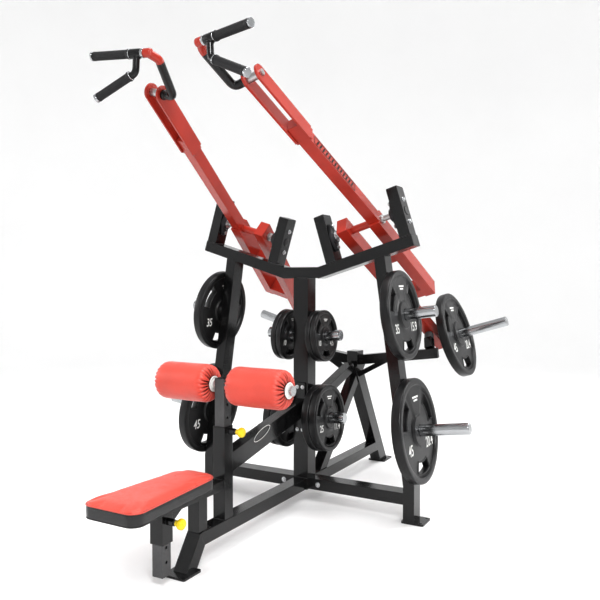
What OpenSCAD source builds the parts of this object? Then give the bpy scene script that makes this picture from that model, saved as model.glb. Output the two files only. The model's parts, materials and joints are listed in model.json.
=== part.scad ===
// Plate-loaded lat pulldown machine with two independent levers.
// +X is the machine's right side, -Y is the seat side, +Z is up, and the floor is z = 0.

/* [Overall] */
// Distance of the uprights' centre plane behind the middle of the machine
upright_y = 117.8; // [100:0.1:140]
// Wall thickness of the frame tubes
wall = 3; // [2:0.5:5]

/* [Base] */
// Width of the base spine
spine_w = 60; // [50:1:70]
// Height of the base spine and of the cross beams
spine_h = 50; // [40:1:60]
// Height of the middle of the spine above the floor
spine_z = 103; // [90:1:120]
// Distance of the front leg's knee in front of the uprights
knee_y = 817; // [780:1:850]
// Forward lean of the front leg from vertical
front_lean = 34.7; // [25:0.1:40]
// Backward lean of the rear leg from vertical
rear_lean = 31; // [25:0.1:36]
// Distance of the rear leg's lower end behind the uprights
rear_foot_y = 893; // [860:1:930]
// Side of a square foot plate
foot_w = 100; // [90:1:120]
// Thickness of a foot plate
foot_t = 8; // [5:1:12]

/* [Uprights and yoke] */
// Width of the uprights, yoke and bearing posts
post_w = 50; // [45:1:60]
// Depth of the uprights, yoke, column and bearing posts
post_d = 75; // [60:1:80]
// Distance from the middle of the machine to the middle of an upright's foot
upright_x = 529; // [500:1:560]
// Height of the upright's knee
upright_knee_z = 165; // [155:1:180]
// Inward lean of an upright
upright_lean = 8.1; // [6:0.1:10]
// Width of the centre column
column_w = 75; // [60:1:80]
// Half width of the yoke's level middle
yoke_half = 90; // [80:1:100]
// Height of the yoke's level middle
yoke_z = 1055; // [1000:1:1080]
// Upward slope of the yoke's wings
wing_tilt = 17; // [12:0.5:20]
// Length of a bearing post
bearing_post_h = 216; // [190:1:240]

/* [Levers] */
// Height of the lever's pivot above the wing
pivot_h = 111; // [100:1:120]
// Distance from the pivot to the handle pin
lever_reach = 902; // [850:1:950]
// Distance from the pivot to the weight horn
horn_reach = 982; // [940:1:1000]
// Distance from the pivot to the end of the outer lower arm
outer_arm_reach = 552; // [500:1:600]
// Slope of the upper beam at rest
beam_slope = 32; // [28:0.5:36]
// Slope of the lower arms at rest
arm_slope = 34.9; // [32:0.1:38]
// Side of the lever's square upper beam
beam_w = 50; // [45:1:60]
// Depth of the lever's lower arms
arm_d = 75; // [65:1:80]
// Radius of the pivot shaft
shaft_r = 12.5; // [10:0.5:15]
// Thickness of a fork plate
fork_t = 8; // [6:1:10]

/* [Handles] */
// Radius of a rubber grip
grip_r = 16; // [14:0.5:19]
// Length of a rubber grip
grip_l = 150; // [120:1:170]
// Radius of the bent handle arm
handle_tube_r = 16; // [14:0.5:19]
// Radius of the chrome handle shaft
handle_shaft_r = 11; // [9:0.5:12]

/* [Seat and thigh rollers] */
// Height of the seat's underside
seat_z = 293; // [290:1:300]
// Length of the seat
seat_l = 478; // [460:1:520]
// Width of the seat at the front
seat_w = 236; // [220:1:260]
// Width of the seat at the back
seat_back_w = 180; // [160:1:200]
// Thickness of the seat cushion
cushion_t = 43; // [35:1:50]
// Radius of a thigh roller
roller_r = 75; // [65:1:85]
// Length of a thigh roller
roller_l = 254; // [220:1:280]
// Height of the roller axle
roller_z = 645; // [620:1:670]
// Outside of the square sleeves that guide the posts
sleeve_w = 54; // [52:1:60]
// Outside of the square sliding posts
slide_w = 44; // [40:1:44]

/* [Plates and horns] */
// Radius of a weight horn
horn_r = 25; // [24:0.5:25]
// Radius of a 45 lb plate
plate45_r = 225; // [215:1:230]
// Radius of a 35 lb plate
plate35_r = 194; // [180:1:200]
// Radius of a 25 lb plate
plate25_r = 152; // [140:1:160]
// Radius of a 10 lb plate
plate10_r = 118; // [110:1:120]

/* [Hidden] */
$fn = 48;
eps = 0.01;
gap = 0.4;

// Frame geometry that follows from the sizes above
spine_top = spine_z + spine_h / 2;
beam_z = spine_z + 4;
beam_flange_t = 8;
rear_foot_len = 119;
junction_y = 560;
junction_z = 626;
junction_w = 60;
junction_d = 76;
junction_h = 80;

// The yoke's wings lie in a frame turned by wing_tilt about the Y axis
wing_top = (yoke_z + spine_h) * cos(wing_tilt) - (yoke_half - 1) * sin(wing_tilt);
wing_start = yoke_half * cos(wing_tilt) + (yoke_z + spine_h) * sin(wing_tilt);
wing_bottom = wing_top - spine_h;
pivot_w = wing_top + pivot_h;
inner_post_u = 477;
outer_post_u = 845;
wing_end = outer_post_u + post_w / 2;
inner_arm_u = 578;
outer_arm_u = 726;
flange_face_in = inner_post_u + post_w / 2;
flange_face_out = outer_post_u - post_w / 2;
housing_t = 26;

// Rear arms carry the lever bumpers
rear_arm_w = 50;
rear_arm_yaw = 9;
rear_arm_rise = 7;
rear_arm_len = 412;
strut_w = 25;
strut_x = 150;
strut_tilt = 112;
bumper_dist = 853;
bumper_r = 24;
bumper_h = 34;
bracket_h = 60;
bracket_w = 40;

// Lever details
arm_start = -50;
outer_arm_start = -22;
horn_arm_end = 1020;
fork_len = 330;
fork_h = 66;
beam_end = 655;
cross_mid = 235;
horn_free = 353;
horn_collar = 54;
horn_collar_r = 33;
handle_pin_r = 8;

// Handle geometry, in the machine's own axes on the right side
handle_hub = [115, -932, 1850];
handle_yaw = -9.3;
handle_tilt = -3;
elbow_u = 640;
fork_y = -lever_reach * cos(beam_slope);
fork_w = lever_reach * sin(beam_slope);
arm_top = [98, -894, 1835];
grip_a_start = 75;
grip_b_start = 66;
grip_b_drop = 76;
grip_b_slope = 28;
grip_b_stub = 20.4;
bend_swell = 0.4;

// Seat and roller places
seat_post_y = -1010;
thigh_post_y = -650;
seat_front_y = -1266;
seat_sleeve_z = 150;
thigh_sleeve_top = 486;
seat_stub_y = -810;
board_t = 14;
seat_plate_t = 7;
liner_wall = 1.8;
slide_wall = 3;
hole_r = 5.5;
hole_pitch = 51;
axle_r = 12;
roller_inner_x = 42;
seat_pin_z = 228;
thigh_pin_z = 468;
pin_r = 5;
pin_stem = 42;
socket_l = 30;
socket_r = 13;

// Storage horns and plates
lower_horn_z = 393;
upper_horn_z = 888;
lower_horn_l = 264;
upper_horn_l = 188;
lower_peg_z = 408;
upper_peg_z = 786;
peg_tilt = 4;
lower_peg_l = 172;
upper_peg_l = 152;
lower_collar = 4;
upper_collar = 9;
peg_collar = 26;
collar_r = 34;
bore_gap = 0.6;
plate45_t = 43;
plate35_t = 40;
plate25_t = 37;
plate10_t = 26;

// ---- helpers ----

// Everything is drawn about the uprights' centre plane and moved once to the machine's middle
module machine() { translate([0, upright_y, 0]) children(); }

// Right side as drawn, left side mirrored
module side_of(s) { if (s > 0) children(); else mirror([1, 0, 0]) children(); }

module both_sides() {
    children();
    mirror([1, 0, 0]) children();
}

// Square-cut hollow box tube that stands on z = 0
module tube_z(w, d, len, t = wall) {
    difference() {
        translate([-w / 2, -d / 2, 0]) cube([w, d, len]);
        translate([-w / 2 + t, -d / 2 + t, -1]) cube([w - 2 * t, d - 2 * t, len + 2]);
    }
}

// The same tube along +Y, with d as its height
module tube_y(w, d, len, t = wall) {
    rotate([-90, 0, 0]) tube_z(w, d, len, t);
}

module block_z(w, d, len) { translate([-w / 2, -d / 2, 0]) cube([w, d, len]); }

// Places children so that their +Z runs from a = [y, z] to b = [y, z] in the middle plane
module along_yz(a, b) {
    translate([0, a[0], a[1]]) rotate([-atan2(b[0] - a[0], b[1] - a[1]), 0, 0]) children();
}

// Rounded plate outline in X and Y, drawn upwards from z = 0
module round_plate(w, d, t, r) {
    hull() {
        for (x = [-1, 1], y = [-1, 1]) {
            translate([x * (w / 2 - r), y * (d / 2 - r), 0]) cylinder(r = r, h = t, $fn = 32);
        }
    }
}

// Domed bolt head with a washer, whose face looks along +Z
module bolt_head(r) {
    cylinder(r = r * 1.35, h = 2.5);
    translate([0, 0, 2.5]) cylinder(r = r, h = r * 0.75);
}

// Wing frame: local X runs along the wing, local Z stands square to it
module wing_frame() { rotate([0, -wing_tilt, 0]) children(); }

// Lever frame: origin on the pivot axis
module lever_frame() { wing_frame() translate([0, 0, pivot_w]) children(); }

module upper_slope() { rotate([-beam_slope, 0, 0]) children(); }

module lower_slope() { rotate([-arm_slope, 0, 0]) children(); }

// Upright frame: origin at the knee, local Z runs up the leaning upright
module upright_frame() {
    translate([upright_x, 0, upright_knee_z]) rotate([0, -upright_lean, 0]) children();
}

// Height along the upright of a point at machine height z
function up_along(z) = (z - upright_knee_z) / cos(upright_lean);

module handle_frame() { translate(handle_hub) rotate([0, handle_tilt, handle_yaw]) children(); }

// Point on the lever, from lever-frame coordinates to machine coordinates
function lever_point(u, y, w) = [u * cos(wing_tilt) - (pivot_w + w) * sin(wing_tilt), y,
    u * sin(wing_tilt) + (pivot_w + w) * cos(wing_tilt)];

// Cylinder between two points
module rod(a, b, r) {
    v = b - a;
    len = norm(v);
    translate(a) rotate([0, acos(v[2] / len), atan2(v[1], v[0])]) cylinder(r = r, h = len);
}

// ---- base ----

module base_spine() {
    color("#1b1b1d") machine() difference() {
        translate([0, -knee_y - 40, spine_z]) tube_y(spine_w, spine_h, knee_y + 40 + 820);
        // mitre against the front leg
        translate([0, -knee_y, spine_z]) rotate([(90 - front_lean) / 2, 0, 0]) {
            translate([-60, -300, -200]) cube([120, 300, 400]);
        }
        rear_leg_envelope(2);
    }
}

module front_leg() {
    foot_y = -knee_y - (spine_z - foot_t) * tan(front_lean);
    color("#1b1b1d") machine() difference() {
        along_yz([foot_y - 40 * tan(front_lean), foot_t - 40], [-knee_y, spine_z]) {
            tube_z(spine_w, 50, 40 / cos(front_lean) + (spine_z - foot_t) / cos(front_lean) + 60);
        }
        translate([0, -knee_y, spine_z]) rotate([(90 - front_lean) / 2, 0, 0]) {
            translate([-60, 0, -200]) cube([120, 300, 400]);
        }
        translate([-100, -1200, -200]) cube([200, 600, 200 + foot_t]);
    }
}

module rear_leg_axis() {
    top_z = junction_z - junction_h / 2;
    along_yz([rear_foot_y + 60 * tan(rear_lean), -60],
        [rear_foot_y - top_z * tan(rear_lean), top_z]) children();
}

module rear_leg_envelope(extra) {
    rear_leg_axis() block_z(spine_w + extra, post_d, 1000);
}

module rear_leg() {
    color("#1b1b1d") machine() difference() {
        rear_leg_axis() tube_z(spine_w, post_d, 790);
        translate([-100, 0, -300]) cube([200, 1400, 300 + foot_t]);
        translate([-100, 0, junction_z - junction_h / 2]) cube([200, 1400, 400]);
    }
}

module foot_plate(len) {
    difference() {
        round_plate(foot_w, len, foot_t, 8);
        for (x = [-1, 1]) translate([x * (foot_w / 2 - 11), len / 2 - 14, -1]) cylinder(r = 6, h = 20);
    }
}

module foot_plates() {
    color("#1b1b1d") machine() {
        translate([0, -902, 0]) rotate([0, 0, 180]) foot_plate(foot_w);
        translate([0, 910, 0]) foot_plate(rear_foot_len);
        both_sides() translate([upright_x + 14, 15, 0]) rotate([0, 0, -90]) foot_plate(foot_w);
    }
}

// A cross beam with the flange that bolts it to the spine's side
module cross_beam() {
    inner_x = spine_w / 2;
    outer_x = upright_x - post_w / 2;
    translate([inner_x, 0, spine_z]) rotate([0, 90, 0]) block_z(spine_h, post_d + 16, beam_flange_t);
    translate([inner_x + beam_flange_t, 0, beam_z]) rotate([0, 90, 0]) {
        tube_z(spine_h, post_d, outer_x - inner_x - beam_flange_t);
    }
}

module cross_beams() {
    color("#1b1b1d") machine() both_sides() cross_beam();
}

module upright() {
    knee = upright_knee_z;
    lean_len = 1100;
    difference() {
        union() {
            difference() {
                translate([upright_x, 0, foot_t]) tube_z(post_w, post_d, knee + 60 - foot_t);
                translate([upright_x, 0, knee]) rotate([0, -upright_lean / 2, 0]) {
                    translate([-200, -200, 0]) cube([400, 400, 300]);
                }
            }
            difference() {
                upright_frame() translate([0, 0, -60]) tube_z(post_w, post_d, lean_len);
                translate([upright_x, 0, knee]) rotate([0, -upright_lean / 2, 0]) {
                    translate([-200, -200, -300]) cube([400, 400, 300]);
                }
            }
        }
        wing_frame() translate([0, -200, wing_bottom]) cube([1200, 400, 400]);
    }
}

module uprights() { color("#1b1b1d") machine() both_sides() upright(); }

module centre_column() {
    color("#1b1b1d") machine() {
        translate([0, 0, spine_top]) tube_z(column_w, post_d, yoke_z - spine_top);
    }
}

// ---- yoke and bearings ----

module wing() {
    difference() {
        wing_frame() translate([wing_start - 80, 0, wing_bottom + spine_h / 2]) {
            rotate([0, 90, 0]) tube_z(spine_h, post_d, wing_end - wing_start + 80);
        }
        translate([-500 + yoke_half, -200, 900]) cube([500, 400, 400]);
    }
}

module top_yoke() {
    color("#1b1b1d") machine() {
        both_sides() wing();
        translate([-yoke_half, 0, yoke_z + spine_h / 2]) rotate([0, 90, 0]) {
            tube_z(spine_h, post_d, 2 * yoke_half);
        }
    }
}

module at_posts() {
    for (u = [inner_post_u, outer_post_u]) wing_frame() translate([u, 0, wing_top]) children();
}

module bearing_posts() {
    color("#1b1b1d") machine() both_sides() at_posts() difference() {
        tube_z(post_w, post_d, bearing_post_h);
        translate([-50, 0, pivot_h]) rotate([0, 90, 0]) cylinder(r = shaft_r + 4, h = 100);
        for (z = [-1, 1]) {
            translate([-50, 0, pivot_h + z * 50]) rotate([0, 90, 0]) cylinder(r = 5, h = 100);
        }
    }
}

module cap(w, d) {
    round_plate(w, d, 4, 4);
}

module end_caps() {
    color("#101012") machine() both_sides() {
        at_posts() translate([0, 0, bearing_post_h]) cap(post_w, post_d);
        wing_frame() translate([wing_end, 0, wing_bottom + spine_h / 2]) rotate([0, 90, 0]) {
            cap(spine_h, post_d);
        }
        rear_arm_frame() translate([rear_arm_len, 0, 0]) rotate([0, 90, 0]) cap(rear_arm_w, rear_arm_w);
    }
}

// Two-bolt flange bearing: its foot is on x = 0 and its nose points along +X
module flange_bearing() {
    rotate([0, 90, 0]) difference() {
        union() {
            hull() {
                for (z = [-1, 1]) translate([z * 50, 0, 0]) cylinder(r = 15, h = 12, $fn = 32);
                cylinder(r = 34, h = 12, $fn = 48);
            }
            cylinder(r = 31, h = 21);
            cylinder(r = 19, h = housing_t);
        }
        translate([0, 0, -1]) cylinder(r = shaft_r + 0.05, h = housing_t + 2);
        for (z = [-1, 1]) translate([z * 50, 0, -1]) cylinder(r = 5, h = 20);
    }
}

module bearing_housings() {
    color("#2a2a2c") machine() both_sides() lever_frame() {
        translate([flange_face_in, 0, 0]) flange_bearing();
        translate([flange_face_out, 0, 0]) mirror([1, 0, 0]) flange_bearing();
    }
}

module bearing_bolt(face, dir) {
    translate([face, 0, 0]) rotate([0, dir * 90, 0]) {
        bolt_head(8);
        translate([0, 0, -post_w - 12]) cylinder(r = 4.9, h = post_w + 12 + eps);
    }
}

module frame_bolts() {
    color("#c9cbce") machine() both_sides() {
        for (z = [-1, 1]) lever_frame() translate([0, 0, z * 50]) {
            bearing_bolt(outer_post_u + post_w / 2, 1);
            bearing_bolt(inner_post_u - post_w / 2, -1);
            translate([flange_face_in + 12, 0, 0]) rotate([0, 90, 0]) cylinder(r = 9, h = 8, $fn = 6);
            translate([flange_face_out - 20, 0, 0]) rotate([0, 90, 0]) cylinder(r = 9, h = 8, $fn = 6);
        }
        // bolts that hold the cross beams to the brackets on the spine
        translate([90, -post_d / 2, beam_z]) rotate([90, 0, 0]) bolt_head(9);
        // bolts of the front brace's flange
        for (z = [355, 552]) {
            translate([14, -post_d / 2 - 8, z]) rotate([90, 0, 0]) bolt_head(7);
        }
    }
}

// ---- braces and rear frame ----

module front_brace() {
    a = [thigh_post_y, 335];
    b = [-post_d / 2, 462];
    color("#1b1b1d") machine() {
        difference() {
            along_yz(a, b) tube_z(post_w, 76, 700);
            translate([-100, -post_d / 2 - 8, 0]) cube([200, 600, 900]);
            translate([-100, thigh_post_y - 400, 0]) cube([200, 400 + sleeve_w / 2, 900]);
        }
        translate([0, -post_d / 2, 455]) rotate([90, 0, 0]) round_plate(post_w + 4, 236, 8, 6);
    }
}

module rear_braces() {
    color("#1b1b1d") machine() difference() {
        union() {
            along_yz([70, 55], [560, 545]) tube_z(post_w, 50, 800);
            along_yz([20, 444], [junction_y - 30, 600]) tube_z(post_w - 2, 46, 600);
        }
        translate([-100, -300, 0]) cube([200, 300 + post_d / 2, 900]);
        translate([-100, -300, 0]) cube([200, 1500, spine_top]);
        translate([-100, junction_y - junction_d / 2, junction_z - junction_h / 2]) cube([200, 600, 400]);
        rear_leg_envelope(20);
    }
}

module rear_junction() {
    color("#1b1b1d") machine() {
        translate([0, junction_y, junction_z - junction_h / 2]) {
            difference() {
                block_z(junction_w, junction_d, junction_h);
                translate([0, 0, 6]) block_z(junction_w - 10, junction_d - 10, junction_h - 12);
            }
        }
    }
}

module rear_arm_frame() {
    translate([junction_w / 2, junction_y, junction_z - 6]) {
        rotate([0, -rear_arm_rise, rear_arm_yaw]) children();
    }
}

// Top of a bumper, on the underside of the inner arm
module bumper_frame() {
    lever_frame() lower_slope() translate([inner_arm_u, bumper_dist, -arm_d / 2 - gap]) {
        rotate([180, 0, 0]) children();
    }
}

module rear_arm() {
    difference() {
        rear_arm_frame() translate([-40, 0, 0]) rotate([0, 90, 0]) {
            tube_z(rear_arm_w, rear_arm_w, rear_arm_len + 40);
        }
        translate([-400 + junction_w / 2, 300, 400]) cube([400, 600, 400]);
    }
    // bumper bracket, coped onto the arm
    difference() {
        bumper_frame() translate([0, 0, bumper_h]) block_z(bracket_w, bracket_w, bracket_h);
        rear_arm_frame() translate([-40, -rear_arm_w / 2, -300]) {
            cube([rear_arm_len + 60, 300, 300 + rear_arm_w / 2]);
        }
        rear_arm_frame() translate([-40, -rear_arm_w / 2 - 100, -300]) {
            cube([rear_arm_len + 60, 200, 300 - rear_arm_w / 2]);
        }
    }
    // thin strut to the rear leg
    difference() {
        rear_arm_frame() translate([strut_x, 0, -rear_arm_w / 2 + 13]) rotate([0, -strut_tilt, 0]) {
            tube_z(strut_w, strut_w, 320, 2.5);
        }
        rear_arm_frame() translate([-40, -100, -rear_arm_w / 2]) cube([600, 200, 300]);
        translate([-400 + spine_w / 2, 300, 0]) cube([400, 700, 900]);
    }
}

module rear_arms() { color("#1b1b1d") machine() both_sides() rear_arm(); }

module bumpers() {
    color("#6b6d70") machine() both_sides() bumper_frame() {
        cylinder(r1 = bumper_r - 4, r2 = bumper_r, h = 10);
        translate([0, 0, 10]) cylinder(r = bumper_r, h = bumper_h - 10);
    }
}

// ---- seat support and sleeves ----

module seat_support() {
    beam_top = seat_z - 10;
    beam_h = 36;
    color("#1b1b1d") machine() {
        translate([0, seat_post_y + sleeve_w / 2, beam_top - beam_h / 2]) {
            tube_y(post_w, beam_h, thigh_post_y - seat_post_y - sleeve_w);
        }
        translate([0, seat_stub_y, spine_top]) tube_z(post_w, 50, beam_top - beam_h - spine_top);
        // gusset behind the seat sleeve
        translate([0, seat_post_y + sleeve_w / 2, beam_top - beam_h]) rotate([90, 0, 90]) {
            translate([0, 0, -4]) linear_extrude(8) polygon([[0, 0], [95, 0], [0, -60]]);
        }
    }
}

module guide_sleeve(z0, z1, pin_z) {
    difference() {
        translate([0, 0, z0]) tube_z(sleeve_w, sleeve_w, z1 - z0);
        translate([0, 0, pin_z]) rotate([0, 90, 0]) cylinder(r = pin_r + 0.3, h = 100);
    }
}

module seat_sleeve() {
    color("#1b1b1d") machine() translate([0, seat_post_y, 0]) {
        guide_sleeve(seat_sleeve_z, seat_z - seat_plate_t - 1, seat_pin_z);
        pin_socket(seat_pin_z);
    }
}

module thigh_sleeve() {
    color("#1b1b1d") machine() translate([0, thigh_post_y, 0]) {
        guide_sleeve(spine_top, thigh_sleeve_top, thigh_pin_z);
        pin_socket(thigh_pin_z);
    }
}

// Welded nut that guides a pop-pin
module pin_socket(z) {
    translate([sleeve_w / 2, 0, z]) rotate([0, 90, 0]) difference() {
        cylinder(r = socket_r, h = socket_l, $fn = 6);
        translate([0, 0, -1]) cylinder(r = pin_r + 0.05, h = socket_l + 2);
    }
}

module liner(z, h) {
    translate([0, 0, z]) difference() {
        block_z(sleeve_w - 2 * wall, sleeve_w - 2 * wall, h);
        translate([0, 0, -1]) {
            block_z(sleeve_w - 2 * wall - 2 * liner_wall, sleeve_w - 2 * wall - 2 * liner_wall, h + 2);
        }
    }
}

module sleeve_liners() {
    color("#0d0d0e") machine() {
        translate([0, seat_post_y, 0]) liner(seat_sleeve_z + 2, 60);
        translate([0, thigh_post_y, 0]) liner(thigh_sleeve_top - 102, 66);
    }
}

module slide_post(len, first_hole, holes) {
    difference() {
        tube_z(slide_w, slide_w, len, slide_wall);
        for (i = [0 : holes - 1]) {
            translate([0, 0, first_hole + i * hole_pitch]) rotate([0, 90, 0]) cylinder(r = hole_r, h = 100);
        }
    }
}

module seat_post() {
    foot = 36;
    color("#7d7f82") machine() translate([0, seat_post_y, 0]) {
        translate([0, 0, foot]) slide_post(seat_z - seat_plate_t - foot, 49, 4);
        translate([0, 40, seat_z - seat_plate_t]) round_plate(130, 230, seat_plate_t, 12);
    }
}

module seat_outline(inset) {
    front = seat_front_y + inset;
    back = seat_front_y + seat_l - inset;
    hull() {
        for (x = [-1, 1]) {
            translate([x * (seat_w / 2 - inset - 40), front + 40]) circle(r = 40, $fn = 32);
            translate([x * (seat_back_w / 2 - inset - 62), back - 62]) circle(r = 62, $fn = 32);
        }
    }
}

module seat_board() {
    color("#151516") machine() translate([0, 0, seat_z]) linear_extrude(board_t) seat_outline(4);
}

module seat_cushion() {
    color("#e2574c") machine() translate([0, 0, seat_z + board_t]) {
        linear_extrude(cushion_t) seat_outline(0);
    }
}

module thigh_post() {
    foot = 300;
    color("#7d7f82") machine() translate([0, thigh_post_y, foot]) difference() {
        slide_post(roller_z + 26 - foot, thigh_pin_z - foot - 2 * hole_pitch, 5);
        translate([-50, 0, roller_z - foot]) rotate([0, 90, 0]) cylinder(r = axle_r + 0.02, h = 100);
    }
}

// ---- rollers ----

module roller_axle() {
    half = roller_inner_x + roller_l + 20;
    color("#c9cbce") machine() translate([0, thigh_post_y, roller_z]) rotate([0, 90, 0]) {
        translate([0, 0, -half]) cylinder(r = axle_r, h = 2 * half);
        for (s = [-1, 1]) {
            translate([0, 0, s * (slide_w / 2 + 5) - 4]) difference() {
                cylinder(r = 20, h = 8);
                translate([0, 0, -1]) cylinder(r = axle_r - 1, h = 10);
            }
            translate([0, 0, s * (half - 4) - 4]) difference() {
                cylinder(r = 19, h = 8);
                translate([0, 0, -1]) cylinder(r = axle_r - 1, h = 10);
            }
        }
    }
}

module roller_pad() {
    fillet = 26;
    translate([roller_inner_x, thigh_post_y, roller_z]) rotate([0, 90, 0]) difference() {
        union() {
            translate([0, 0, fillet]) cylinder(r = roller_r, h = roller_l - 2 * fillet);
            for (end = [0, 1]) translate([0, 0, end * roller_l]) mirror([0, 0, end]) {
                cylinder(r1 = roller_r - 14, r2 = roller_r - 3, h = 11);
                translate([0, 0, 11]) cylinder(r1 = roller_r - 3, r2 = roller_r, h = fillet - 11 + eps);
            }
        }
        translate([0, 0, -1]) cylinder(r = 21, h = roller_l + 2);
    }
}

module roller_right() { color("#e2574c") machine() roller_pad(); }

module roller_left() { color("#e2574c") machine() mirror([1, 0, 0]) roller_pad(); }

// Core tube with an end flange at each side
module roller_hub() {
    translate([roller_inner_x - 5, thigh_post_y, roller_z]) rotate([0, 90, 0]) difference() {
        union() {
            cylinder(r = 20.8, h = roller_l + 10);
            cylinder(r = 31, h = 4.8);
            translate([0, 0, roller_l + 5.2]) cylinder(r = 31, h = 4.8);
        }
        translate([0, 0, -1]) cylinder(r = axle_r + 0.08, h = roller_l + 12);
    }
}

module roller_hubs_right() { color("#f2f2f0") machine() roller_hub(); }

module roller_hubs_left() { color("#f2f2f0") machine() mirror([1, 0, 0]) roller_hub(); }

// ---- pop-pins ----

module pop_pin(z) {
    translate([slide_w / 2 + gap, 0, z]) rotate([0, 90, 0]) {
        cylinder(r = pin_r, h = pin_stem + 12);
        translate([0, 0, pin_stem]) {
            cylinder(r = 11, h = 8);
            translate([0, 0, 8]) cylinder(r1 = 15, r2 = 19, h = 8);
            translate([0, 0, 16]) cylinder(r = 19, h = 12);
            translate([0, 0, 28]) cylinder(r1 = 19, r2 = 12, h = 7);
        }
    }
}

module seat_pin() { color("#e8cf3a") machine() translate([0, seat_post_y, 0]) pop_pin(seat_pin_z); }

module thigh_pin() { color("#e8cf3a") machine() translate([0, thigh_post_y, 0]) pop_pin(thigh_pin_z); }

// ---- levers ----

module lever_beam(s) {
    color("#c23b32") machine() side_of(s) lever_frame() difference() {
        upper_slope() translate([outer_arm_u, -beam_end, 0]) {
            tube_y(beam_w, beam_w, beam_end);
            // welded end cap
            translate([-beam_w / 2, 0, -beam_w / 2]) cube([beam_w, 4, beam_w]);
        }
        lower_slope() translate([outer_arm_u - 50, outer_arm_start, -100]) cube([100, 300, 200]);
    }
}

module lever_beam_right() { lever_beam(1); }

module lever_beam_left() { lever_beam(-1); }

module lever_arm_tube(u, start, reach) {
    translate([u, start, 0]) {
        tube_y(beam_w, arm_d, reach - start);
        for (y = [0, reach - start - 4]) {
            translate([-beam_w / 2, y, -arm_d / 2]) cube([beam_w, 4, arm_d]);
        }
    }
}

module lever_arms(s) {
    span = outer_arm_u - inner_arm_u - beam_w;
    mid_u = inner_arm_u + beam_w / 2;
    color("#c23b32") machine() side_of(s) lever_frame() lower_slope() difference() {
        union() {
            lever_arm_tube(outer_arm_u, outer_arm_start, outer_arm_reach);
            lever_arm_tube(inner_arm_u, arm_start, horn_arm_end);
            translate([mid_u, cross_mid, 0]) rotate([0, 90, 0]) tube_z(50, 50, span);
            translate([mid_u, outer_arm_reach - 32, 0]) rotate([0, 90, 0]) tube_z(arm_d, 50, span);
            translate([mid_u, 0, 0]) rotate([0, 90, 0]) cylinder(r = 17, h = span);
        }
        translate([inner_arm_u - 50, 0, 0]) rotate([0, 90, 0]) cylinder(r = shaft_r, h = 300);
    }
}

module lever_arms_right() { lever_arms(1); }

module lever_arms_left() { lever_arms(-1); }

// Pivot shaft and the pin of the fork
module lever_pins(s) {
    tip = -lever_reach;
    color("#b9bbbe") machine() side_of(s) lever_frame() {
        translate([flange_face_in - 1, 0, 0]) rotate([0, 90, 0]) {
            cylinder(r = shaft_r, h = flange_face_out - flange_face_in + 2);
        }
        for (u = [inner_arm_u - beam_w / 2 - 9.5, outer_arm_u + beam_w / 2 + 0.5]) {
            translate([u, 0, 0]) rotate([0, 90, 0]) difference() {
                cylinder(r = 20, h = 9);
                translate([0, 0, -1]) cylinder(r = shaft_r - 1, h = 11);
            }
        }
        upper_slope() translate([outer_arm_u, tip, 0]) rotate([0, 90, 0]) {
            translate([0, 0, -beam_w / 2 - fork_t - 48]) {
                cylinder(r = handle_pin_r, h = beam_w + 2 * fork_t + 48);
            }
            translate([0, 0, beam_w / 2 + fork_t]) cylinder(r = 12, h = 8, $fn = 6);
            translate([0, 0, -beam_w / 2 + 1]) difference() {
                cylinder(r = 15, h = beam_w - 2);
                translate([0, 0, -1]) cylinder(r = handle_pin_r - 1, h = beam_w);
            }
        }
    }
}

module lever_pins_right() { lever_pins(1); }

module lever_pins_left() { lever_pins(-1); }

module fork_plate() {
    difference() {
        union() {
            rotate([0, 90, 0]) cylinder(r = fork_h / 2, h = fork_t);
            translate([0, 0, -fork_h / 2]) cube([fork_t, fork_len - 12, fork_h]);
            translate([0, 0, -beam_w / 2]) cube([fork_t, fork_len, beam_w]);
        }
        translate([-1, 0, 0]) rotate([0, 90, 0]) cylinder(r = handle_pin_r, h = fork_t + 2);
    }
}

module fork_plates(s) {
    color("#c23b32") machine() side_of(s) lever_frame() upper_slope() {
        translate([outer_arm_u + beam_w / 2, -lever_reach, 0]) fork_plate();
        translate([outer_arm_u - beam_w / 2 - fork_t, -lever_reach, 0]) fork_plate();
    }
}

module fork_plates_right() { fork_plates(1); }

module fork_plates_left() { fork_plates(-1); }

// Horn for loading plates, with the collar that a plate rests against
module weight_horn(s) {
    base_u = inner_arm_u + beam_w / 2;
    color("#c9cbce") machine() side_of(s) lever_frame() lower_slope() {
        translate([base_u, horn_reach, 0]) rotate([0, 90, 0]) {
            cylinder(r = horn_collar_r, h = horn_collar);
            cylinder(r = horn_r, h = horn_free - 3);
            translate([0, 0, horn_free - 3]) cylinder(r1 = horn_r, r2 = horn_r - 3, h = 3);
        }
    }
}

module weight_horn_right() { weight_horn(1); }

module weight_horn_left() { weight_horn(-1); }

// ---- handles ----

module handle_arm(s) {
    arm_foot = lever_point(outer_arm_u - beam_w / 2 - fork_t - gap, fork_y, fork_w);
    arm_elbow = lever_point(elbow_u, fork_y, fork_w);
    color("#17171a") machine() side_of(s) difference() {
        union() {
            rod(arm_elbow, arm_foot, handle_tube_r);
            translate(arm_elbow) sphere(r = handle_tube_r + bend_swell);
            rod(arm_elbow, arm_top, handle_tube_r);
            translate(arm_top) sphere(r = handle_tube_r + bend_swell);
            rod(arm_top, handle_hub, handle_tube_r);
            translate(handle_hub) sphere(r = handle_tube_r + bend_swell);
        }
        rod(lever_point(elbow_u - 12, fork_y, fork_w), lever_point(elbow_u + 120, fork_y, fork_w),
            handle_pin_r + 0.08);
        handle_frame() rotate([0, 90, 0]) cylinder(r = handle_shaft_r, h = 60);
    }
}

module handle_arm_right() { handle_arm(1); }

module handle_arm_left() { handle_arm(-1); }

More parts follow.
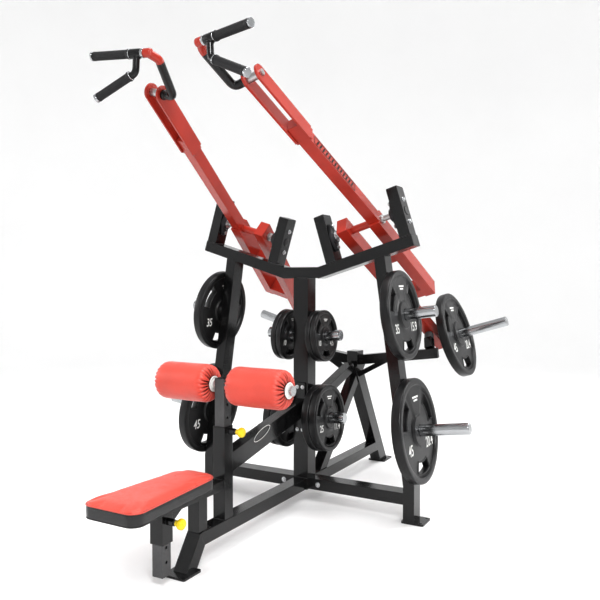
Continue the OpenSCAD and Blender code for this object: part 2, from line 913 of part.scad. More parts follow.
module handle_shaft(s) {
    color("#c9cbce") machine() side_of(s) handle_frame() rotate([0, 90, 0]) {
        cylinder(r = handle_shaft_r, h = grip_a_start + grip_l + 4);
        translate([0, 0, 17]) cylinder(r = 17, h = 9);
        translate([0, 0, grip_a_start + grip_l + 4]) cylinder(r = 16.5, h = 7);
    }
}

module handle_shaft_right() { handle_shaft(1); }

module handle_shaft_left() { handle_shaft(-1); }

// Turning sleeve on the shaft, with the bent tube for the lower grip
module swivel_handle(s) {
    tube_r = 12.5;
    b0 = [grip_b_start, 0, -grip_b_drop];
    b_dir = [cos(grip_b_slope), 0, -sin(grip_b_slope)];
    b1 = b0 + (grip_l + 8) * b_dir;
    bend = b0 - grip_b_stub * b_dir;
    color("#17171a") machine() side_of(s) handle_frame() {
        difference() {
            union() {
                translate([26.5, 0, 0]) rotate([0, 90, 0]) cylinder(r = 17, h = 44);
                translate([70, 0, 0]) rotate([0, 90, 0]) cylinder(r = 13.5, h = grip_a_start + grip_l - 67);
                rod([bend[0] - 4, 0, -8], bend, tube_r);
            }
            translate([20, 0, 0]) rotate([0, 90, 0]) cylinder(r = handle_shaft_r + 0.08, h = 240);
        }
        translate(bend) sphere(r = tube_r + bend_swell);
        rod(bend, b1, tube_r);
        translate(b1 - b_dir) rotate([0, 90 + grip_b_slope, 0]) cylinder(r = 16.5, h = 8);
    }
}

module swivel_handle_right() { swivel_handle(1); }

module swivel_handle_left() { swivel_handle(-1); }

module grip(inner_r) {
    rotate([0, 90, 0]) difference() {
        union() {
            cylinder(r = grip_r, h = grip_l);
            cylinder(r = grip_r + 2, h = 6);
        }
        translate([0, 0, -1]) cylinder(r = inner_r, h = grip_l + 2);
    }
}

module grips(s) {
    color("#101012") machine() side_of(s) handle_frame() {
        translate([grip_a_start, 0, 0]) grip(13.5);
        translate([grip_b_start, 0, -grip_b_drop]) rotate([0, grip_b_slope, 0]) {
            translate([4, 0, 0]) grip(12.5);
        }
    }
}

module grips_right() { grips(1); }

module grips_left() { grips(-1); }

// ---- storage horns and plates ----

module storage_horn(len, collar) {
    rotate([0, 90, 0]) {
        cylinder(r = collar_r, h = collar);
        cylinder(r = horn_r, h = len - 3);
        translate([0, 0, len - 3]) cylinder(r1 = horn_r, r2 = horn_r - 3, h = 3);
    }
}

module at_lower_horn() { upright_frame() translate([post_w / 2, 0, up_along(lower_horn_z)]) children(); }

module at_upper_horn() { upright_frame() translate([post_w / 2, 0, up_along(upper_horn_z)]) children(); }

module at_lower_peg() { translate([column_w / 2, 0, lower_peg_z]) rotate([0, -peg_tilt, 0]) children(); }

module at_upper_peg() { translate([column_w / 2, 0, upper_peg_z]) rotate([0, -peg_tilt, 0]) children(); }

module storage_horns() {
    color("#c9cbce") machine() both_sides() {
        at_lower_horn() storage_horn(lower_horn_l, lower_collar);
        at_upper_horn() storage_horn(upper_horn_l, upper_collar);
        difference() {
            union() {
                at_lower_peg() translate([-6, 0, 0]) storage_horn(lower_peg_l + 6, peg_collar + 6);
                at_upper_peg() translate([-6, 0, 0]) storage_horn(upper_peg_l + 6, peg_collar + 6);
            }
            translate([-100 + column_w / 2, -100, 0]) cube([100, 200, 1200]);
        }
    }
}

// Weight plate with a rim, a raised hub and three grip windows, drawn from x = 0 outwards
module weight_plate(r, t) {
    rim = r * 0.13;
    hub = r * 0.24 + 12;
    dish = t * 0.22;
    rotate([0, 90, 0]) difference() {
        cylinder(r = r, h = t, $fn = 72);
        for (z = [-1, t - dish]) translate([0, 0, z]) difference() {
            cylinder(r = r - rim, h = dish + 1);
            translate([0, 0, -1]) cylinder(r = hub, h = dish + 3);
        }
        translate([0, 0, -1]) cylinder(r = horn_r + bore_gap, h = t + 2);
        for (a = [0, 120, 240]) rotate([0, 0, a]) {
            translate([0, 0, -1]) linear_extrude(t + 2) window_outline(r);
        }
    }
}

module window_outline(r) {
    outer = r * 0.80;
    inner = r * 0.60;
    intersection() {
        difference() {
            circle(r = outer);
            circle(r = inner);
        }
        polygon([[0, 0], [2 * r * cos(21), -2 * r * sin(21)], [2 * r * cos(21), 2 * r * sin(21)]]);
    }
}

module lever_plate_right() {
    color("#232325") machine() lever_frame() lower_slope() {
        translate([inner_arm_u + beam_w / 2 + horn_collar + gap, horn_reach, 0]) rotate([arm_slope, 0, 0]) {
            weight_plate(plate45_r, plate45_t);
        }
    }
}

module upper_plate(s) {
    color("#232325") machine() side_of(s) at_upper_horn() {
        translate([upper_collar + gap, 0, 0]) weight_plate(plate35_r, plate35_t);
    }
}

module upper_plate_right() { upper_plate(1); }

module upper_plate_left() { upper_plate(-1); }

module lower_plate(s) {
    color("#232325") machine() side_of(s) at_lower_horn() {
        translate([lower_collar + gap, 0, 0]) weight_plate(plate45_r, plate45_t);
    }
}

module lower_plate_right() { lower_plate(1); }

module lower_plate_left() { lower_plate(-1); }

module plate_pair(r, t) {
    for (i = [0, 1]) translate([peg_collar + gap + i * (t + gap), 0, 0]) weight_plate(r, t);
}

module upper_peg_plates(s) {
    color("#232325") machine() side_of(s) at_upper_peg() plate_pair(plate10_r, plate10_t);
}

module upper_peg_plates_right() { upper_peg_plates(1); }

module upper_peg_plates_left() { upper_peg_plates(-1); }

module lower_peg_plates(s) {
    color("#232325") machine() side_of(s) at_lower_peg() plate_pair(plate25_r, plate25_t);
}

module lower_peg_plates_right() { lower_peg_plates(1); }

module lower_peg_plates_left() { lower_peg_plates(-1); }

base_spine();
front_leg();
rear_leg();
foot_plates();
cross_beams();
uprights();
centre_column();
top_yoke();
bearing_posts();
end_caps();
bearing_housings();
frame_bolts();
front_brace();
rear_braces();
rear_junction();
rear_arms();
bumpers();
seat_support();
seat_sleeve();
thigh_sleeve();
sleeve_liners();
storage_horns();
lever_beam_right();
lever_beam_left();
lever_arms_right();
lever_arms_left();
fork_plates_right();
fork_plates_left();
lever_pins_right();
lever_pins_left();
weight_horn_right();
weight_horn_left();
handle_arm_right();
handle_arm_left();
handle_shaft_right();
handle_shaft_left();
swivel_handle_right();
swivel_handle_left();
grips_right();
grips_left();
seat_post();
seat_board();
seat_cushion();
thigh_post();
roller_axle();
roller_right();
roller_left();
roller_hubs_right();
roller_hubs_left();
seat_pin();
thigh_pin();
lever_plate_right();
upper_plate_right();
upper_plate_left();
lower_plate_right();
lower_plate_left();
upper_peg_plates_right();
upper_peg_plates_left();
lower_peg_plates_right();
lower_peg_plates_left();
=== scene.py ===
import json
import math
import random

import bmesh
import bpy
import numpy as np
from mathutils import Matrix, Vector


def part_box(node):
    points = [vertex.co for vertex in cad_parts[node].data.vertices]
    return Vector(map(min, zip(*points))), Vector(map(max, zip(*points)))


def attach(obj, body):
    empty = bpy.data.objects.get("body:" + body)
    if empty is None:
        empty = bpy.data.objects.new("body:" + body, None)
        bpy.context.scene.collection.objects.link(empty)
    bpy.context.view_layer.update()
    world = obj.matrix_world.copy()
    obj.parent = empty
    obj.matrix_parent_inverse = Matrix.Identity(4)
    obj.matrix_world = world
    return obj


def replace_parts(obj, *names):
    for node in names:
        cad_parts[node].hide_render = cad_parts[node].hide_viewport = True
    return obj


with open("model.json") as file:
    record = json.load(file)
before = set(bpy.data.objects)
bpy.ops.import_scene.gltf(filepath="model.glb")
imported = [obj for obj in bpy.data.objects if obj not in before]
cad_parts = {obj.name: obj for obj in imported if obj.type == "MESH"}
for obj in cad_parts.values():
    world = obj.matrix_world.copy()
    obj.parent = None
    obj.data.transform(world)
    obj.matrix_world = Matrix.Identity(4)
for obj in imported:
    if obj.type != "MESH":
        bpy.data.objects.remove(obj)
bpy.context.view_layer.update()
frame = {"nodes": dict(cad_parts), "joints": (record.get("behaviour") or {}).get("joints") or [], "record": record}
JOINTS = {j["name"]: j for j in frame["joints"]}
scene = bpy.context.scene
rng = random.Random(7)


def joint_pos(name):
    return Vector(JOINTS[name]["pos_m"])


def joint_axis(name):
    return Vector(JOINTS[name]["axis"]).normalized()


def centre(node):
    low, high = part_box(node)
    return (low + high) / 2


# ---- camera and light

camera_data = bpy.data.cameras.new("camera")
camera = bpy.data.objects.new("camera", camera_data)
scene.collection.objects.link(camera)
camera.location = (1.5675, -2.7033, 1.0579)
camera.rotation_euler = (math.radians(88.14), 0, math.radians(29.44))
camera_data.lens = 41.58
camera_data.sensor_width = 36
camera_data.clip_end = 100
scene.camera = camera
scene.view_settings.view_transform = "Standard"
scene.view_settings.gamma = 0.82

world = bpy.data.worlds.new("studio")
scene.world = world
world.use_nodes = True
background = world.node_tree.nodes["Background"]
background.inputs["Color"].default_value = (1.0, 1.0, 1.0, 1)
background.inputs["Strength"].default_value = 0.82


def area_light(name, place, target, size, power, color=(1, 1, 1)):
    data = bpy.data.lights.new(name, "AREA")
    data.shape = "RECTANGLE"
    data.size = size[0]
    data.size_y = size[1]
    data.energy = power
    data.color = color
    light = bpy.data.objects.new(name, data)
    light.location = place
    light.rotation_euler = (Vector(target) - Vector(place)).to_track_quat("-Z", "Y").to_euler()
    scene.collection.objects.link(light)


area_light("key", (2.6, -3.4, 3.6), (0, -0.2, 0.8), (1.2, 1.2), 150)
area_light("fill", (-3.6, -2.2, 2.0), (0, 0, 0.8), (1.4, 2.2), 45)
area_light("top", (0.4, 0.2, 4.4), (0, 0, 0.8), (2.2, 2.2), 110)
area_light("rim", (2.6, 2.6, 2.4), (0, 0.2, 0.9), (0.6, 2.2), 45)


# ---- materials

class Nodes:
    """Short way to write a node tree."""

    def __init__(self, name):
        self.material = bpy.data.materials.new(name)
        self.material.use_nodes = True
        self.tree = self.material.node_tree
        self.tree.nodes.clear()
        self.out = self.tree.nodes.new("ShaderNodeOutputMaterial")
        self.shader = self.tree.nodes.new("ShaderNodeBsdfPrincipled")
        self.tree.links.new(self.shader.outputs["BSDF"], self.out.inputs["Surface"])
        self.coords = self.add("TexCoord").outputs["Object"]

    def add(self, kind, **values):
        node = self.tree.nodes.new("ShaderNode" + kind)
        for key, value in values.items():
            setattr(node, key, value)
        return node

    def link(self, a, b):
        self.tree.links.new(a, b)

    def set(self, **values):
        for key, value in values.items():
            self.shader.inputs[key.replace("_", " ")].default_value = value

    def noise(self, scale, detail=3.0, rough=0.55, stretch=None, distortion=0.0):
        node = self.add("TexNoise")
        node.inputs["Scale"].default_value = scale
        node.inputs["Detail"].default_value = detail
        node.inputs["Roughness"].default_value = rough
        node.inputs["Distortion"].default_value = distortion
        if stretch:
            mapping = self.add("Mapping")
            mapping.inputs["Scale"].default_value = stretch
            self.link(self.coords, mapping.inputs["Vector"])
            self.link(mapping.outputs["Vector"], node.inputs["Vector"])
        else:
            self.link(self.coords, node.inputs["Vector"])
        return node.outputs["Fac"]

    def ramp(self, source, stops):
        node = self.add("ValToRGB")
        ramp = node.color_ramp
        while len(ramp.elements) < len(stops):
            ramp.elements.new(0.5)
        for element, (place, color) in zip(ramp.elements, stops):
            element.position = place
            element.color = (*color, 1) if len(color) == 3 else color
        self.link(source, node.inputs["Fac"])
        return node.outputs["Color"]

    def span(self, source, low, high, from_low=0.0, from_high=1.0):
        node = self.add("MapRange")
        for key, value in (("From Min", from_low), ("From Max", from_high), ("To Min", low), ("To Max", high)):
            node.inputs[key].default_value = value
        self.link(source, node.inputs["Value"])
        return node.outputs["Result"]

    def feed(self, node, values):
        """Gives each numbered input a number, a colour or a link."""
        for index, value in values:
            if isinstance(value, (int, float)):
                node.inputs[index].default_value = value
            elif isinstance(value, tuple):
                node.inputs[index].default_value = (*value, 1)
            else:
                self.link(value, node.inputs[index])

    def math(self, operation, a, b):
        node = self.add("Math", operation=operation)
        self.feed(node, enumerate((a, b)))
        return node.outputs["Value"]

    def mix(self, factor, a, b):
        node = self.add("Mix", data_type="RGBA")
        self.feed(node, ((0, factor), (6, a), (7, b)))
        return node.outputs[2]

    def surface(self, color, source, *span):
        """Links the colour, and the source's span as the roughness."""
        self.link(color, self.shader.inputs["Base Color"])
        self.link(self.span(source, *span), self.shader.inputs["Roughness"])

    def bump(self, height, strength, distance, bevel=0.0):
        node = self.add("Bump")
        node.inputs["Strength"].default_value = strength
        node.inputs["Distance"].default_value = distance
        self.link(height, node.inputs["Height"])
        if bevel:
            edge = self.add("Bevel", samples=4)
            edge.inputs["Radius"].default_value = bevel
            self.link(edge.outputs["Normal"], node.inputs["Normal"])
        self.link(node.outputs["Normal"], self.shader.inputs["Normal"])


def tint(base, factor, add=0.0):
    """The colour made lighter or darker."""
    return tuple(min(1, c * factor + add) for c in base)


def powder_coat(name, base, variation, rough, bevel=0.004, coat=0.15, shine=0.35):
    """Sprayed and baked paint: orange peel, soft colour drift, and edges whose normals are rounded."""
    n = Nodes(name)
    drift = n.noise(5.5, 4, 0.6)
    color = n.ramp(drift, [(0.3, tint(base, 1 - variation)), (0.7, tint(base, 1 + variation))])
    dust = n.noise(210, 2, 0.5)
    speck = n.span(dust, 0.0, 0.35, 0.66, 0.8)
    color = n.mix(speck, color, tint(base, 1.4, 0.008))
    n.surface(color, n.noise(14, 5, 0.65), rough * 0.75, rough * 1.35, 0.3, 0.7)
    n.set(Metallic=0.0, Coat_Weight=coat, Coat_Roughness=0.1, Specular_IOR_Level=shine)
    peel = n.noise(420, 2, 0.5)
    n.bump(peel, 0.22, 0.0006, bevel)
    return n.material


def chrome(name, base, rough, bevel=0.0015, brush=None):
    n = Nodes(name)
    smear = n.noise(22, 4, 0.6)
    color = n.ramp(smear, [(0.3, tint(base, 0.86)), (0.75, base)])
    scratch = n.noise(60, 3, 0.7, stretch=brush or (1, 14, 14))
    n.surface(color, scratch, rough * 0.6, rough * 1.9, 0.3, 0.75)
    n.set(Metallic=1.0)
    n.bump(scratch, 0.06, 0.0004, bevel)
    return n.material


def rubber(name, base, rough, grain=700, depth=0.3, bevel=0.0015, scuff=0.5):
    n = Nodes(name)
    cloud = n.noise(9, 5, 0.6)
    color = n.ramp(cloud, [(0.32, tint(base, 0.8)), (0.7, tint(base, 1.35))])
    scuffs = n.noise(38, 6, 0.75, distortion=1.2)
    color = n.mix(n.span(scuffs, 0, scuff, 0.6, 0.78), color, tint(base, 2.6, 0.01))
    n.surface(color, cloud, rough * 0.85, rough * 1.15, 0.3, 0.7)
    n.set(Specular_IOR_Level=0.4)
    n.bump(n.noise(grain, 3, 0.6), depth, 0.0005, bevel)
    return n.material


def vinyl(name, base, rough=0.36, two_tone_z=None, dark=(0.014, 0.014, 0.015)):
    """Coated upholstery cloth: leather-like cells, fine pores, stretched folds in the sheen, and painted shade in
    the folds.
    """
    n = Nodes(name)
    cloud = n.noise(6, 4, 0.6)
    color = n.ramp(cloud, [(0.3, tint(base, 0.88)), (0.72, tint(base, 1.08))])
    cells = n.add("TexVoronoi", feature="DISTANCE_TO_EDGE")
    cells.inputs["Scale"].default_value = 430
    n.link(n.coords, cells.inputs["Vector"])
    crease = n.span(cells.outputs["Distance"], 0.0, 1.0, 0.0, 0.22)
    color = n.mix(n.span(crease, 0.16, 0.0), color, tint(base, 0.5))
    # painted shade: the colour is darkened where the AO node finds the folds closed in
    shade = n.add("AmbientOcclusion", samples=8)
    shade.inputs["Distance"].default_value = 0.012
    color = n.mix(n.span(shade.outputs["AO"], 0.85, 0.0, 0.25, 0.85), color, tint(base, 0.08))
    if two_tone_z is not None:
        split = n.add("SeparateXYZ")
        n.link(n.coords, split.inputs[0])
        side = n.span(split.outputs["Z"], 1.0, 0.0, two_tone_z - 0.0008, two_tone_z + 0.0008)
        color = n.mix(side, color, dark)
    n.surface(color, n.noise(30, 4, 0.6), rough * 0.8, rough * 1.25, 0.3, 0.7)
    n.set(Sheen_Weight=0.08, Specular_IOR_Level=0.5)
    pores = n.noise(1500, 2, 0.5)
    n.bump(n.math("ADD", n.math("MULTIPLY", crease, 0.7), n.math("MULTIPLY", pores, 0.3)), 0.35, 0.0005)
    return n.material


def plastic(name, base, rough, bevel=0.001, grain=900, depth=0.12):
    n = Nodes(name)
    cloud = n.noise(11, 3, 0.5)
    color = n.ramp(cloud, [(0.3, tint(base, 0.92)), (0.7, tint(base, 1.04))])
    grime = n.noise(55, 5, 0.7)
    color = n.mix(n.span(grime, 0, 0.35, 0.6, 0.8), color, tint(base, 0.6))
    n.surface(color, cloud, rough * 0.85, rough * 1.2, 0.3, 0.7)
    n.bump(n.noise(grain, 2, 0.5), depth, 0.0004, bevel)
    return n.material


MATERIALS = {
    "black_frame": powder_coat("black_powder_coat", (0.007, 0.007, 0.0074), 0.35, 0.17, coat=0.25),
    "red_lever": powder_coat("red_powder_coat", (0.36, 0.034, 0.02), 0.12, 0.19, coat=0.25),
    "grey_post": chrome("worn_grey_steel", (0.13, 0.13, 0.132), 0.34, 0.004, (14, 14, 1)),
    "chrome_horn": chrome("polished_chrome", (0.46, 0.47, 0.48), 0.14),
    "cast_housing": powder_coat("cast_black", (0.02, 0.02, 0.022), 0.3, 0.42, 0.002, 0.0),
    "zinc_bolts": chrome("zinc_plate", (0.6, 0.61, 0.62), 0.24, 0.001),
    "steel_pins": chrome("ground_steel", (0.5, 0.5, 0.5), 0.28, 0.001),
    "plate_rubber": rubber("plate_rubber", (0.009, 0.009, 0.0095), 0.34),
    "bumper_rubber": rubber("bumper_rubber", (0.06, 0.06, 0.062), 0.6),
    "grip_rubber": rubber("grip_rubber", (0.014, 0.014, 0.015), 0.55, 1300, 0.5, 0.0005, 0.2),
    "handle_black": powder_coat("handle_black_coat", (0.009, 0.009, 0.0095), 0.35, 0.2, 0.0015),
    "red_vinyl": vinyl("red_vinyl", (0.62, 0.085, 0.058)),
    "seat_base": plastic("seat_board_back", (0.012, 0.012, 0.012), 0.7),
    "white_hub": plastic("white_hub", (0.74, 0.74, 0.72), 0.32),
    "yellow_knob": plastic("yellow_knob", (0.8, 0.6, 0.02), 0.28),
    "cap_plastic": plastic("cap_plastic", (0.011, 0.011, 0.0115), 0.38, 0.003),
    "weld_black": powder_coat("black_weld", (0.01, 0.01, 0.0105), 0.35, 0.3, 0.0, 0.2),
    "mark_white": plastic("mark_white", (0.78, 0.78, 0.76), 0.5, 0.0),
    "mark_dark": plastic("mark_dark", (0.006, 0.004, 0.004), 0.8, 0.0),
}

for entry in frame["record"]["subparts"]:
    node = frame["nodes"][entry["node"]]
    node.data.materials.clear()
    node.data.materials.append(MATERIALS[entry["material_slot"]])


# ---- mesh helpers

def piece(name, vertices, faces, body, slot, smooth=38, material=None, mirror=False):
    """A new mesh piece in the row frame. mirror draws it on the other side of X = 0."""
    if mirror:
        vertices = [(-v[0], v[1], v[2]) for v in vertices]
        faces = [tuple(reversed(f)) for f in faces]
    mesh = bpy.data.meshes.new(name)
    mesh.from_pydata([tuple(v) for v in vertices], [], [tuple(f) for f in faces])
    mesh.validate()
    mesh.polygons.foreach_set("use_smooth", [True] * len(mesh.polygons))
    if smooth:
        mesh.set_sharp_from_angle(angle=math.radians(smooth))
    mesh.materials.append(MATERIALS[material or slot])
    mesh.update()
    obj = bpy.data.objects.new(name, mesh)
    scene.collection.objects.link(obj)
    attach(obj, body)
    return obj


def basis(axis, up=Vector((0, 0, 1))):
    """Columns X = axis, Y and Z square to it."""
    x = Vector(axis).normalized()
    z = Vector(up) - x * x.dot(Vector(up))
    z.normalize()
    return Matrix((x, z.cross(x), z)).transposed()


def evaluated(obj):
    """A new mesh with the object's modifiers applied."""
    graph = bpy.context.evaluated_depsgraph_get()
    return bpy.data.meshes.new_from_object(obj.evaluated_get(graph))


def turns(count):
    """Angles all the way round, in even steps."""
    return [2 * math.pi * k / count for k in range(count)]


class Mesh:
    """Collects vertices and faces of several shapes in one mesh."""

    def __init__(self):
        self.v = []
        self.f = []

    def grid(self, rows, close_rows=False, close_ring=True, flip=False):
        base = len(self.v)
        count = len(rows[0])
        for row in rows:
            self.v += [tuple(p) for p in row]
        last = len(rows) if close_rows else len(rows) - 1
        ring = count if close_ring else count - 1
        for i in range(last):
            for j in range(ring):
                a = base + i * count + j
                b = base + i * count + (j + 1) % count
                c = base + ((i + 1) % len(rows)) * count + (j + 1) % count
                d = base + ((i + 1) % len(rows)) * count + j
                self.f.append((d, c, b, a) if flip else (a, b, c, d))
        return base

    def fan(self, start, count, flip=False):
        ring = list(range(start, start + count))
        self.f.append(tuple(reversed(ring)) if flip else tuple(ring))

    def lathe(self, origin, rot, profile, seg=48, shape=None):
        """profile: (x along the axis, radius). A radius of 0 closes the end with a fan."""
        rows = []
        origin = Vector(origin)
        for x, r in profile:
            row = []
            for a in turns(seg):
                rr = r * (shape(a) if shape else 1)
                row.append(origin + rot @ Vector((x, rr * math.cos(a), rr * math.sin(a))))
            rows.append(row)
        base = self.grid(rows)
        if profile[0][1] < 0.9 and profile[0] != profile[-1]:
            self.fan(base, seg, True)
            self.fan(base + (len(rows) - 1) * seg, seg)

    def sweep(self, points, radius, seg=24, caps=True):
        """Round tube along a list of points."""
        points = [Vector(p) for p in points]
        tangent = (points[1] - points[0]).normalized()
        normal = tangent.orthogonal().normalized()
        rows = []
        for i, p in enumerate(points):
            before = points[max(i - 1, 0)]
            after = points[min(i + 1, len(points) - 1)]
            t = (after - before).normalized()
            normal = (normal - t * normal.dot(t)).normalized()
            side = t.cross(normal)
            r = radius[i] if isinstance(radius, (list, tuple)) else radius
            rows.append([p + r * (math.cos(a) * normal + math.sin(a) * side) for a in turns(seg)])
        base = self.grid(rows)
        if caps:
            self.fan(base, seg, True)
            self.fan(base + (len(rows) - 1) * seg, seg)

    def make(self, name, body, slot, **kw):
        return piece(name, self.v, self.f, body, slot, **kw)


def corner(p, u, v, steps):
    """Points of a smooth corner at p, between p + u and p + v."""
    times = [k / steps for k in range(steps + 1)]
    return [(1 - t) ** 2 * (p + u) + 2 * t * (1 - t) * p + t * t * (p + v) for t in times]


def spaced(points, gap):
    """The points without those that lie on the one before."""
    clean = [points[0]]
    for p in points[1:]:
        if (p - clean[-1]).length > gap:
            clean.append(p)
    return clean


def rounded_path(corners, radius, steps=10):
    """Polyline with each inner corner rounded to the given bend radius."""
    points = [Vector(corners[0])]
    for i in range(1, len(corners) - 1):
        p, a, b = Vector(corners[i]), Vector(corners[i - 1]), Vector(corners[i + 1])
        u, v = (a - p).normalized(), (b - p).normalized()
        half = math.acos(max(-1, min(1, u.dot(v)))) / 2
        cut = min(radius / math.tan(half), 0.48 * (a - p).length, 0.48 * (b - p).length)
        points += corner(p, u * cut, v * cut, steps)
    points.append(Vector(corners[-1]))
    return spaced(points, 1e-5)


def fillet(profile, radius, steps=4):
    """Rounds the corners of a lathe profile."""
    result = [profile[0]]
    for i in range(1, len(profile) - 1):
        p, a, b = (Vector(q) for q in (profile[i], profile[i - 1], profile[i + 1]))
        cut = min(radius, 0.45 * (a - p).length, 0.45 * (b - p).length)
        u, v = (a - p).normalized() * cut, (b - p).normalized() * cut
        result += [(q.x, q.y) for q in corner(p, u, v, steps)]
    result.append(profile[-1])
    return result


TIP = 0.0001        # radius at which a lathe profile is taken as closed on its axis


def closed(profile, tip=None):
    """Lathe profile of a solid: starts and ends on the axis, at the first point and at tip or the last."""
    return [(profile[0][0], TIP), *profile, (profile[-1][0] if tip is None else tip, TIP)]


def sleeve(length, inner, outer):
    """Lathe profile of a plain ring about a bore."""
    return [(0.0, inner), (0.0, outer), (length, outer), (length, inner), (0.0, inner)]


def even_loop(loop, count):
    """Points spaced evenly along a closed outline."""
    total = [0.0]
    for k in range(len(loop)):
        total.append(total[-1] + (loop[(k + 1) % len(loop)] - loop[k]).length)
    even = []
    for i in range(count):
        d = total[-1] * i / count
        k = max(j for j in range(len(loop)) if total[j] <= d + 1e-9)
        t = (d - total[k]) / max(total[k + 1] - total[k], 1e-9)
        even.append(loop[k].lerp(loop[(k + 1) % len(loop)], t))
    return even


SIDES = (("right", 1), ("left", -1))
UNTURNED = Matrix.Identity(3)

# ---- weight plates

PLATE_SIZES = {"45": (0.225, 0.043), "35": (0.194, 0.040), "25": (0.152, 0.037), "10": (0.118, 0.026)}
KILOS = {"45": "20.4", "35": "15.9", "25": "11.4", "10": "4.5"}
BORE = 0.0256
WINDOWS = (0, 120, 240)      # grip windows, in degrees from the lowest
DISH = 0.22                  # depth of each dished face, as a share of the thickness
BRIDGE = 0.35                # how much of the dish the bridge that carries the marks fills
RIM_ROUND = 0.007
MARK_LIFT = 0.0004


def smooth_step(a, b, x):
    t = max(0.0, min(1.0, (x - a) / (b - a)))
    return t * t * (3 - 2 * t)


def plate_shape(weight):
    """Vertices and faces of a plate about its own middle: X is its axis and its lowest grip window is at -Z."""
    radius, thick = PLATE_SIZES[weight]
    half = thick / 2
    dish = thick * DISH
    hub = radius * 0.24 + 0.012
    rim = radius * 0.87
    low, high = radius * 0.60, radius * 0.80
    wide = 21.0
    # rows are closer together where the windows' edges are
    steps = (0, 5, 10, 14, 17.5, 19.5, wide, 22.2, 24, 27, 31, 36, 42, 48, 54, 60)
    angles = sorted({round(w + s * e, 3) % 360 for w in WINDOWS for s in (-1, 1) for e in steps})
    radii = [BORE, BORE + 0.0015, BORE + 0.006, hub - 0.004, hub - 0.0015, hub, hub + 0.003, hub + 0.006,
             (hub + low) / 2, low - 0.007, low - 0.0045, low - 0.002, low - 0.0005, low, low + 0.004,
             (low + high) / 2, high - 0.004, high, high + 0.0005, high + 0.002, high + 0.0045, high + 0.006,
             rim - 0.0035, rim - 0.001, rim + 0.001, rim + 0.003,
             radius - 0.007, radius - 0.004, radius - 0.002, radius - 0.0006, radius]
    radii = sorted(set(round(r, 6) for r in radii))

    def window_gap(r, a):
        """Distance from the nearest window's outline; negative inside it."""
        best = 1.0
        for w in WINDOWS:
            off = abs((a - w + 180) % 360 - 180)
            side = r * math.sin(math.radians(off - wide)) if off < 90 else 1.0
            radial = max(low - r, r - high)
            if side > 0 and radial > 0:
                gap = math.hypot(side, radial)
            else:
                gap = max(side, radial)
            best = min(best, gap)
        return best

    def height(r, a):
        deep = smooth_step(hub - 0.002, hub + 0.005, r) * (1 - smooth_step(rim - 0.003, rim + 0.002, r))
        h = half - dish * deep
        gap = window_gap(r, a)
        if gap > -0.001:
            lip = 1 - smooth_step(0.0045, 0.0075, gap)
            h += lip * min(0.0035, dish * 0.45) * smooth_step(-0.0005, 0.0015, gap)
        # flat bridge between the two upper windows, which carries the marks
        bridge = 1 - smooth_step(26, 30, abs(a % 360 - 180))
        h += deep * bridge * dish * BRIDGE
        edge = radius - r
        if edge < RIM_ROUND:
            h -= RIM_ROUND - math.sqrt(max(0.0, RIM_ROUND ** 2 - (RIM_ROUND - edge) ** 2))
        if r - BORE < 0.0015:
            h -= 0.0015 - (r - BORE)
        return h

    count = len(angles)
    front, back = [], []
    for r in radii:
        for a in angles:
            t = math.radians(a)
            y, z = r * math.sin(t), -r * math.cos(t)
            h = height(r, a)
            front.append((h, y, z))
            back.append((-h, y, z))
    vertices = front + back
    shift = len(front)
    solid = {}
    for i in range(len(radii) - 1):
        for j in range(count):
            rm = (radii[i] + radii[i + 1]) / 2
            am = angles[j] + ((angles[(j + 1) % count] - angles[j]) % 360) / 2
            solid[i, j] = window_gap(rm, am % 360) > 0
    faces = []

    def index(i, j):
        return i * count + j % count

    for (i, j), full in solid.items():
        if not full:
            continue
        a, b, c, d = index(i, j), index(i, j + 1), index(i + 1, j + 1), index(i + 1, j)
        faces.append((a, d, c, b))
        faces.append((a + shift, b + shift, c + shift, d + shift))
        for p, q, near in ((a, b, (i - 1, j)), (c, d, (i + 1, j)),
                           (b, c, (i, (j + 1) % count)), (d, a, (i, (j - 1) % count))):
            if not solid.get(near, False):
                faces.append((p, q, q + shift, p + shift))
    return vertices, faces


PLATE_MESH = {w: plate_shape(w) for w in PLATE_SIZES}


def text_shape(words, size):
    curve = bpy.data.curves.new("words", "FONT")
    curve.body = words
    curve.size = size
    curve.align_x = "CENTER"
    curve.align_y = "CENTER"
    curve.offset = size * 0.012
    curve.extrude = 0.0003
    obj = bpy.data.objects.new("words", curve)
    scene.collection.objects.link(obj)
    bpy.context.view_layer.update()
    mesh = evaluated(obj)
    vertices = [tuple(v.co) for v in mesh.vertices]
    faces = [tuple(p.vertices) for p in mesh.polygons]
    bpy.data.objects.remove(obj)
    bpy.data.curves.remove(curve)
    bpy.data.meshes.remove(mesh)
    return vertices, faces


TEXT = {}
for word in list(KILOS) + list(KILOS.values()):
    TEXT[word] = text_shape(word, 1.0)


